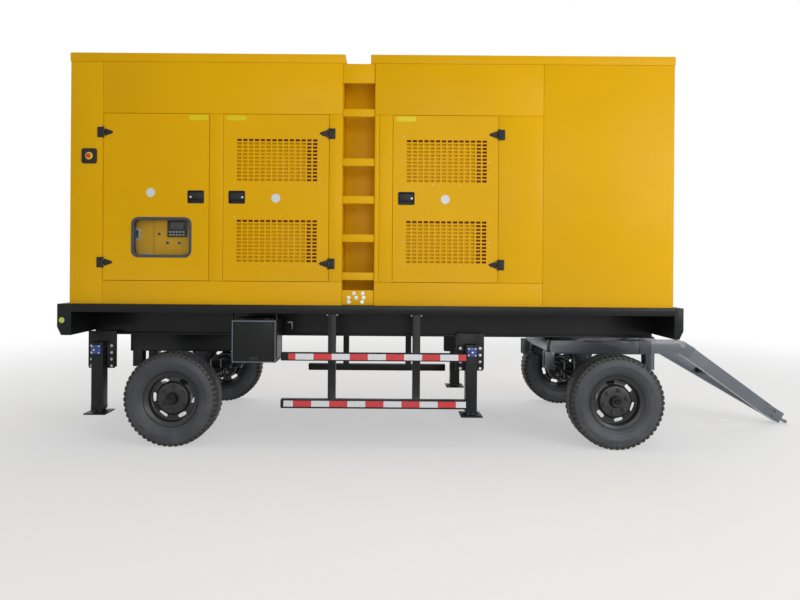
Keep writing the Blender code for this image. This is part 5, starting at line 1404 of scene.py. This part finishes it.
# two slats at each slot of the outlet in the front end
def buildOutlet():
    low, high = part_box("front_end_panel")
    pitch, half = louvre["tall"] / louvre["slots"], louvre["wide"] / 2
    shape = bmesh.new()
    for number in range(louvre["slots"]):
        for lift in (0, louvre["second"]):
            z = (low.z + high.z - louvre["tall"]) / 2 + pitch * (number + 0.3) + lift
            slant = Matrix.Translation((high.x - 0.020, 0, z)) @ Matrix.Rotation(louvre["slant"], 4, "Y")
            addBox(shape, about(0, louvre["deep"]), (-half, half), about(0, louvre["sheet"] / 2), 0.0006,
                   0, slant)
    makePiece("outlet_louvres", shape, "canopyPaint", "chassis", "canopy_paint")


buildReflectors()
buildToolboxTrim()
buildHitch()
buildControls()
buildOutlet()
print("fittings done")


# engine: cast block with everything that is bolted to it
engineLow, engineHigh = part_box("engine")
shaftZ = spot("fan_spin").z
engine = {"cylinders": 6, "flywheel": 0.160, "frontEnd": -0.011, "crankZ": 1.800, "blockHalf": 0.235,
          "blockTop": 2.10, "panTop": 1.650, "panBottom": 1.46, "coverTall": 0.085, "runner": 0.030,
          "belt": 0.012, "boltCircle": 0.286}
blockStart, blockEnd = engineLow.x + engine["flywheel"], engine["frontEnd"]
blockMiddle = (blockStart + blockEnd) / 2


# flywheel housing, block with its ribs, and pan
def addBlock(shape):
    start, end, crank, half = blockStart, blockEnd, engine["crankZ"], engine["blockHalf"]
    addBar(shape, (engineLow.x, start - 0.03), 0, crank, 0.305, 64, 0.008)
    addBar(shape, (start - 0.05, start + 0.05), 0, crank, 0.300, 64, 0.006, 0, tip=0.235)
    for angle, y, z in ringSpots(16, engine["boltCircle"]):
        addHexBolt(shape, (start - 0.030, y, crank + z), (1, 0, 0), 0.019, 0.010, 3)
    addBox(shape, (start, end), (-half, half), (1.66, engine["blockTop"]), 0.012)
    for number in range(engine["cylinders"] + 1):                   # ribs between the cylinders
        x = start + 0.03 + (end - start - 0.06) * number / engine["cylinders"]
        for side in (-1, 1):
            addBox(shape, about(x, 0.007), (side * half, side * (half + 0.018)), (1.70, 2.08), 0.005)
    for inside, out, z, soft in ((0.01, 0.010, (1.744, 1.756), 0.004), (0.01, 0.010, (1.924, 1.936), 0.004),
                                 (0.02, 0.022, (1.648, 1.664), 0.003)):
        addBox(shape, (start + inside, end - inside), about(0, half + out), z, soft)
    top, bottom = engine["panTop"], engine["panBottom"]
    pan = [(-0.215, top), (-0.215, 1.55), (-0.150, bottom), (0.150, bottom), (0.215, 1.55), (0.215, top)]
    addOutline(shape, pan, start + 0.04, end - 0.04, "X", 0.010, 1)
    for number in range(14):
        x = start + 0.05 + (end - start - 0.10) * number / 13
        for side in (-1, 1):
            addHexBolt(shape, (x, side * (half + 0.008), 1.648), (0, 0, -1), 0.013, 0.008, 3, False)


# heads with their covers, runners and pipes, and the two manifolds
def addHeads(shape):
    start, end, top = blockStart, blockEnd, engine["blockTop"]
    pitch = (end - start - 0.06) / engine["cylinders"]
    for number in range(engine["cylinders"]):
        x = start + 0.03 + pitch * (number + 0.5)
        addBox(shape, about(x, pitch / 2 - 0.004), (-0.170, 0.170), (top - 0.002, top + 0.120), 0.008)
        addBox(shape, about(x, pitch / 2 - 0.014), (-0.110, 0.110),
               (top + 0.118, top + 0.118 + engine["coverTall"]), 0.018, 1, None, 3)
        for a in (-1, 1):
            for b in (-1, 1):
                addHexBolt(shape, (x + a * (pitch / 2 - 0.026), b * 0.137, top + 0.120), (0, 0, 1), 0.017,
                           0.010, 3)
        addBar(shape, x, (0.165, 0.240), top + 0.055, engine["runner"], 24, 0.003, 2)
        addBar(shape, x, (-0.165, -0.225), top + 0.060, 0.026, 24, 0.003)
        addRod(shape, (x - 0.020, -0.140, top + 0.080), (x - 0.020, -0.215, 2.02), 0.0035, 8, 0, 3)
    addBar(shape, (start + 0.05, end - 0.05), 0.252, top + 0.055, 0.043, 28, 0.006, 2)
    addBox(shape, (start + 0.04, end - 0.04), (-0.285, -0.215), (top + 0.020, top + 0.105), 0.016, 0, None, 3)


# round parts, each as limits or a place in x from the block's middle, y, z over the block's top, radius,
# sides, soft edge and material
turned = (
    ((-0.106, -0.044), 0.262, 0.205, 0.088, 40, 0.018, 2),          # charger
    ((0.043, 0.097), 0.262, 0.205, 0.080, 40, 0.018, 0),
    ((-0.06, 0.06), 0.262, 0.205, 0.040, 28, 0.003, 0),
    (-0.075, 0.262, (0.09, 0.15), 0.042, 24, 0.004, 2),
    ((-0.14, -0.10), 0.262, 0.205, 0.048, 28, 0.003, 2),
    ((0.20, 0.62), 0.225, 0.270, 0.125, 48, 0.012, 4),              # air filter with its bands
    ((0.26, 0.278), 0.225, 0.270, 0.1275, 48, 0.001, 3),
    ((0.55, 0.568), 0.225, 0.270, 0.1275, 48, 0.001, 3),
    ((0.06, 0.13), -0.280, -0.17, 0.052, 28, 0.004, 3),             # fuel pump's drive
    (0.24, -0.300, (-0.36, -0.18), 0.047, 32, 0.008, 5),            # two filters
    (0.24, -0.300, (-0.18, -0.155), 0.040, 28, 0.003, 0),
    (0.36, -0.300, (-0.36, -0.18), 0.047, 32, 0.008, 5),
    (0.36, -0.300, (-0.18, -0.155), 0.040, 28, 0.003, 0),
    (-0.36, -0.285, (-0.045, -0.015), 0.011, 12, 0.002, 6),         # dipstick's grip
)


# charger, filters, pump, starter, oil cooler and dipstick
def addAncillaries(shape):
    start, middle, top = blockStart, blockMiddle, engine["blockTop"]
    for x, y, z, *values in turned:
        x = (middle + x[0], middle + x[1]) if isinstance(x, tuple) else middle + x
        z = (top + z[0], top + z[1]) if isinstance(z, tuple) else top + z
        addBar(shape, x, y, z, *values)
    addRod(shape, (middle + 0.10, 0.262, top + 0.205), (middle + 0.21, 0.225, top + 0.255), 0.045, 24,
           0.002, 4)
    addRod(shape, (middle - 0.36, -0.262, 1.62), (middle - 0.36, -0.285, 2.06), 0.006, 10, 0, 3)
    addBar(shape, (start + 0.04, start + 0.30), -0.290, 1.71, 0.058, 32, 0.006, 4)
    addBar(shape, (start + 0.10, start + 0.24), -0.320, 1.795, 0.026, 24, 0.004, 4)
    for number in range(6):                                         # pump outlets
        addBar(shape, middle - 0.25 + number * 0.052, -0.280, (1.995, 2.028), 0.012, 12, 0.002, 3)
    for x, y, z, soft in (
            ((-0.28, 0.06), (-0.335, -0.225), (1.86, 2.00), 0.012), ((0.205, 0.275), (-0.320, -0.23),
            (1.940, 1.975), 0.006), ((0.325, 0.395), (-0.320, -0.23), (1.940, 1.975), 0.006),
            ((-0.22, 0.22), (0.232, 0.300), (1.80, 1.93), 0.010)):
        addBox(shape, (middle + x[0], middle + x[1]), y, z, soft)
    for side in (-1, 1):                                            # lifting eyes
        x = middle + side * 0.62
        addOutline(shape, roundedCorners((x - 0.030, 2.10), (x + 0.030, 2.26), 0.026), 0.176, 0.188, "Y",
                   0.003, 3)


# pulleys with their belt, the charging alternator, and the fan's shaft
def addBeltDrive(shape):
    end = blockEnd
    pulleys = ((0.0, engine["crankZ"], 0.115), (0.0, shaftZ, 0.085), (-0.210, 2.06, 0.050))
    for y, z, radius in pulleys:
        addBar(shape, (end - 0.02, end + 0.055), y, z, radius, 44, 0.004, 3)
        addBar(shape, (end + 0.018, end + 0.047), y, z, radius + 0.006, 44, 0.002, 6)
    for (y1, z1, r1), (y2, z2, r2) in zip(pulleys, pulleys[1:] + pulleys[:1]):
        way = Vector((0, y2 - y1, z2 - z1)).normalized()
        out = Vector((0, way.z, -way.y))
        a, b = (Vector((end + 0.032, y, z)) + out * (r + 0.003) for y, z, r in ((y1, z1, r1), (y2, z2, r2)))
        addRod(shape, a, b, engine["belt"], 4, 0, 6)
    addBar(shape, (end - 0.17, end - 0.02), -0.245, 2.06, 0.070, 32, 0.008, 3)
    addBar(shape, (end, engineHigh.x), 0, shaftZ, 0.0195, 28, 0.002, 3)
    addBar(shape, (end - 0.03, end + 0.060), 0, shaftZ, 0.050, 32, 0.006)


# feet on rubber mounts
def addFeet(shape):
    for x in (engineLow.x + 0.25, -0.2308):
        for side in (-1, 1):
            for x0, x1, y0, y1, z, soft in (
                    (0.012, 0.108, 0.225, 0.375, (1.575, 1.600), 0.006),
                    (0.014, 0.026, 0.226, 0.34, (1.59, 1.70), 0.004), (0.094, 0.106, 0.226, 0.34,
                    (1.59, 1.70), 0.004), (0, 0.12, 0.225, 0.378, (engineLow.z, 1.500), 0.004)):
                addBox(shape, (x + x0, x + x1), (side * y0, side * y1), z, soft, 1)
            addBar(shape, x + 0.060, side * 0.315, (1.500, 1.576), 0.042, 28, 0.010, 6)
            addHexBolt(shape, (x + 0.060, side * 0.315, 1.600), (0, 0, 1), 0.027, 0.016, 3, True, 0.010)


def buildEngine():
    shape = bmesh.new()
    for add in (addBlock, addHeads, addAncillaries, addBeltDrive, addFeet):
        add(shape)
    makePiece("diesel_engine", shape,
              "engineCast engineDark exhaustIron zincSteel blackPlastic filterPaint sealRubber", "chassis",
              "cast_metal", "engine")


alternator = {
    "radius": 0.330, "core": 0.308, "z": 1.800, "fins": 26, "slots": 20, "bolts": 8, "boltCircle": 0.238}


# finned shell, louvred end bells, terminal box with its lid, and feet
def buildAlternator():
    low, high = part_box("alternator")
    x0, x1, radius, core, z = low.x, high.x, alternator["radius"], alternator["core"], alternator["z"]
    long, band = x1 - x0, radius - 0.006
    profile = [(0, 0.030), (0.10, 0.030), (0.12, 0.006), (core - 0.06, 0.002), (core - 0.012, 0.014),
               (core, 0.05), (core, 0.16), (band, 0.165), (band, 0.185), (core, 0.19), (core, long - 0.15),
               (band, long - 0.145), (band, long - 0.125), (core, long - 0.12), (core, long - 0.03),
               (radius - 0.012, long - 0.026), (radius - 0.012, long - 0.001), (0, long - 0.001)]
    shape = bmesh.new()
    centre = Matrix.Translation((0, 0, z))
    moveVerts(
        shape, addLathe(shape, profile, 72), Matrix.Translation((x0, 0, z)) @ Matrix.Rotation(math.pi / 2, 4,
        "Y"))
    for angle, y, height in ringSpots(alternator["fins"], radius, math.pi / alternator["fins"]):
        # no fins under the terminal box and between the feet
        if abs(angle - math.pi / 2) >= 0.75 and abs(angle - 3 * math.pi / 2) >= 0.30:
            addBox(shape, (x0 + 0.19, x1 - 0.15), (core - 0.010, radius - 0.007), (-0.005, 0.005), 0.003, 0,
                   centre @ Matrix.Rotation(angle, 4, "X"), 1)
    for angle, y, height in ringSpots(alternator["slots"], radius):
        slot = centre @ Matrix.Rotation(angle, 4, "X")
        for x in ((x0 + 0.060, x0 + 0.150), (x1 - 0.110, x1 - 0.040)):
            addBox(shape, x, (core - 0.004, core + 0.0006), (-0.022, 0.022), 0.0, 1, slot)
            for step in range(4):
                addBox(shape, x, about(core, 0.004), about(-0.016 + step * 0.0107, 0.0012), 0.0, 0, slot)
    for angle, y, height in ringSpots(alternator["bolts"], alternator["boltCircle"]):
        addHexBolt(shape, (x0 + 0.007, y, z + height), (-1, 0, 0), 0.016, 0.006, 2, False)
    top = high.z
    addBox(shape, (x0 + 0.102, x1 - 0.202), (-0.198, 0.198), (z + radius - 0.06, top - 0.012), 0.006)
    addBox(shape, (x0 + 0.100, x1 - 0.200), (-0.200, 0.200), (top - 0.014, top - 0.004), 0.003)
    for x in (x0 + 0.125, (x0 + x1 - 0.1) / 2, x1 - 0.225):
        for y in (-0.180, 0.180):
            addHexBolt(shape, (x, y, top - 0.0041), (0, 0, 1), 0.011, 0.0036, 2, False)
    for side in (-1, 1):
        addBox(shape, (x0 + 0.08, x1 - 0.08), (side * 0.18, side * 0.30), (low.z, low.z + 0.018), 0.004)
        addBox(shape, (x0 + 0.09, x1 - 0.09), (side * 0.205, side * 0.225), (low.z + 0.01, z - 0.18), 0.004)
        for x in (x0 + 0.12, x1 - 0.12):
            addHexBolt(shape, (x, side * 0.262, low.z + 0.018), (0, 0, 1), 0.027, 0.016, 2, True, 0.010)
    makePiece("alternator_shell", shape, "alternatorCast blackPlastic zincSteel", "chassis", "cast_metal",
              "alternator")


# radiator and fan
core = {"tank": 0.110, "side": 0.045, "rows": 40, "tubes": 44, "shroud": 0.435, "shroudHalf": 0.560,
        "cap": 0.030, "capY": -0.25}


# side channels, header tanks, tube and fin core, filler cap, and a square shroud with a round mouth
def buildRadiator():
    low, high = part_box("radiator")
    tank, side, deep = core["tank"], core["side"], (low.x, high.x)
    bottom, top = low.z + tank, high.z - tank - 0.03
    width, x = (low.y + side, high.y - side), (low.x + high.x) / 2
    shape = bmesh.new()
    addBox(shape, deep, (low.y, high.y), (low.z, bottom), 0.008)
    addBox(shape, deep, (low.y + 0.02, high.y - 0.02), (top, high.z - 0.030), 0.022, 0, None, 3)
    addBar(shape, x, core["capY"], (high.z - 0.032, high.z - 0.010), core["cap"], 32, 0.003, 2)
    addBar(shape, x, core["capY"], (high.z - 0.012, high.z), 0.022, 8, 0.002, 2)
    for edge in (low.y, high.y - side):
        addBox(shape, deep, (edge, edge + side), (low.z + 0.05, high.z - tank - 0.01), 0.004)
    addBox(shape, (low.x + 0.045, high.x - 0.045), width, (bottom, top), 0.0, 3)
    for row in range(core["rows"]):
        z = bottom + (top - bottom) * (row + 0.5) / core["rows"]
        addBox(shape, (low.x + 0.034, high.x - 0.034), width, about(z, 0.0012), 0.0, 1)
    for column in range(core["tubes"]):
        y = width[0] + (width[1] - width[0]) * (column + 0.5) / core["tubes"]
        addBox(shape, (low.x + 0.038, high.x - 0.038), about(y, 0.0035), (bottom, top), 0.0, 1)
    mouth, square = [], []
    for angle, y, z in ringSpots(48, 1.0):
        grow = core["shroudHalf"] / max(abs(y), abs(z))
        mouth.append((core["shroud"] * y, shaftZ + core["shroud"] * z))
        square.append((y * grow, shaftZ + z * grow))
    addFrame(shape, square, mouth, low.x + 0.001, low.x + 0.006, "X")
    makePiece("radiator_pack", shape, "chassisPaint coreFins zincSteel blackPlastic", "chassis",
              "radiator_core", "radiator")


fanShape = {"blades": 6, "root": 0.070, "twist": 32, "moreTwist": 24, "steps": 5, "thick": 0.0035, "bolts": 6}


def buildFan():
    low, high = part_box("fan")
    reach = (high.z - low.z) / 2 - 0.003 - fanShape["root"]
    profile = [(0.0209, -0.027), (0.060, -0.029), (0.078, -0.024), (0.080, -0.018), (0.080, 0.018),
               (0.074, 0.027), (0.040, 0.029), (0.0209, 0.029)]
    shape = bmesh.new()
    moveVerts(shape, addLathe(shape, profile, 40, 0, True), Matrix.Rotation(math.pi / 2, 4, "Y"))
    for blade, y, z in ringSpots(fanShape["blades"], reach):
        turn = Matrix.Rotation(blade, 4, "X")
        grid = []
        for step in range(fanShape["steps"] + 1):                  # one row of points across the blade
            share = step / fanShape["steps"]
            angle = math.radians(fanShape["twist"] + fanShape["moreTwist"] * share)
            row = []
            for part in (-1, -0.5, 0, 0.5, 1):
                place, lift = part * (0.034 + 0.010 * share), 0.006 * (1 - part ** 2)
                point = Vector(
                    (place * math.cos(angle) + lift * math.sin(angle),
                    place * math.sin(angle) - lift * math.cos(angle), fanShape["root"] + reach * share))
                row.append(shape.verts.new(turn @ point))
            grid.append(row)
        faces = [shape.faces.new((a[i], a[i + 1], b[i + 1], b[i])) for a,
                 b in zip(grid, grid[1:]) for i in range(4)]
        bmesh.ops.solidify(shape, geom=faces, thickness=fanShape["thick"])
    for angle, y, z in ringSpots(fanShape["bolts"], 0.055, math.pi / fanShape["bolts"]):
        addHexBolt(shape, (-0.029, y, z), (-1, 0, 0), 0.014, 0.006, 1, False)
    bmesh.ops.translate(shape, verts=shape.verts, vec=spot("fan_spin"))
    makePiece("cooling_fan", shape, "fanPlastic zincSteel", "fan", "black_plastic", "fan")


buildEngine()
buildAlternator()
buildRadiator()
buildFan()
print("generator set done")


# floor, light and camera
view = {"lens": 26.69, "place": (-0.616, -5.89, 1.548), "roll": 0.0075, "shiftX": 0.0166, "shiftY": -0.045}
studio = {
    "floorHalf": 60.0,
    "floorTone": 0.88,
    "fadeFrom": 3.6,              # the floor fades into the white backdrop between these two distances
    "fadeTo": 10.0,
    "ambient": 0.38,
    "lamps": {                    # place, target, size, power
        "key": ((6.8, -7.6, 3.8), (1.8, 0.0, 1.7), 4.6, 340),
        "front": ((0.2, -11.0, 3.6), (-0.4, 0.0, 1.9), 5.0, 210),
        "top": ((0.0, 1.5, 9.0), (0.0, 0.0, 1.0), 7.0, 260),
    },
}


# 1 for camera, mirror and glass rays
def seenDirectly(tree):
    path = addNode(tree, "ShaderNodeLightPath").outputs
    seen = math2(tree, "MAXIMUM", path["Is Camera Ray"], path["Is Glossy Ray"])
    return math2(tree, "MAXIMUM", seen, path["Is Transmission Ray"])


def buildFloor():
    shape = bmesh.new()
    half = studio["floorHalf"]
    addBox(shape, (-half, half), (-half, half), (-0.02, 0.0))
    mesh = bpy.data.meshes.new("floor")
    shape.to_mesh(mesh)
    shape.free()
    floor = bpy.data.objects.new("floor", mesh)
    bpy.context.scene.collection.objects.link(floor)
    material, tree, shader = newMaterial("paleFloor")
    tone = studio["floorTone"]
    feed(tree, shader, {"Base Color": (tone, tone, tone, 1.0), "Roughness": 0.9, "Specular IOR Level": 0.1})
    distance = addNode(tree, "ShaderNodeVectorMath", operation="LENGTH")
    feed(tree, distance, {0: addNode(tree, "ShaderNodeTexCoord").outputs["Object"]})
    far = ramp(tree, distance.outputs["Value"], studio["fadeFrom"], studio["fadeTo"], 0.45, 1.0)
    mixShaders(tree, math2(tree, "MULTIPLY", far, seenDirectly(tree)), shader,
               addNode(tree, "ShaderNodeEmission"), "Material Output")
    mesh.materials.append(material)


# blends two shaders by a mask, into the tree's output
def mixShaders(tree, mask, first, second, output):
    blend = addNode(tree, "ShaderNodeMixShader")
    mixed = feed(tree, blend, {0: mask, 1: first.outputs[0], 2: second.outputs[0]})
    tree.links.new(mixed, tree.nodes[output].inputs["Surface"])


def buildWorld():
    world = bpy.data.worlds.new("studio")
    world.use_nodes = True
    bpy.context.scene.world = world
    tree = world.node_tree
    dim, white = tree.nodes["Background"], addNode(tree, "ShaderNodeBackground")
    feed(tree, dim, {"Color": (1.0, 1.0, 1.0, 1.0), "Strength": studio["ambient"]})
    feed(tree, white, {"Color": (1.0, 1.0, 1.0, 1.0)})
    mixShaders(tree, seenDirectly(tree), dim, white, "World Output")


def addLight(name, place, target, size, power):
    lamp = bpy.data.lights.new(name, "AREA")
    lamp.energy, lamp.size = power, size
    item = bpy.data.objects.new(name, lamp)
    item.location = place
    item.rotation_euler = (Vector(target) - Vector(place)).to_track_quat("-Z", "Y").to_euler()
    bpy.context.scene.collection.objects.link(item)


def buildCamera():
    camera = bpy.data.cameras.new("camera")
    camera.lens, camera.sensor_width = view["lens"], 36.0
    camera.shift_x, camera.shift_y = view["shiftX"], view["shiftY"]
    item = bpy.data.objects.new("camera", camera)
    turn = Matrix.Rotation(math.pi / 2, 4, "X") @ Matrix.Rotation(view["roll"], 4, "Z")
    item.matrix_world = Matrix.Translation(view["place"]) @ turn
    bpy.context.scene.collection.objects.link(item)
    bpy.context.scene.camera = item


buildFloor()
buildWorld()
for name, values in studio["lamps"].items():
    addLight(name, *values)
buildCamera()
print("stage done")
bpy.context.scene.view_settings.view_transform = "Standard"
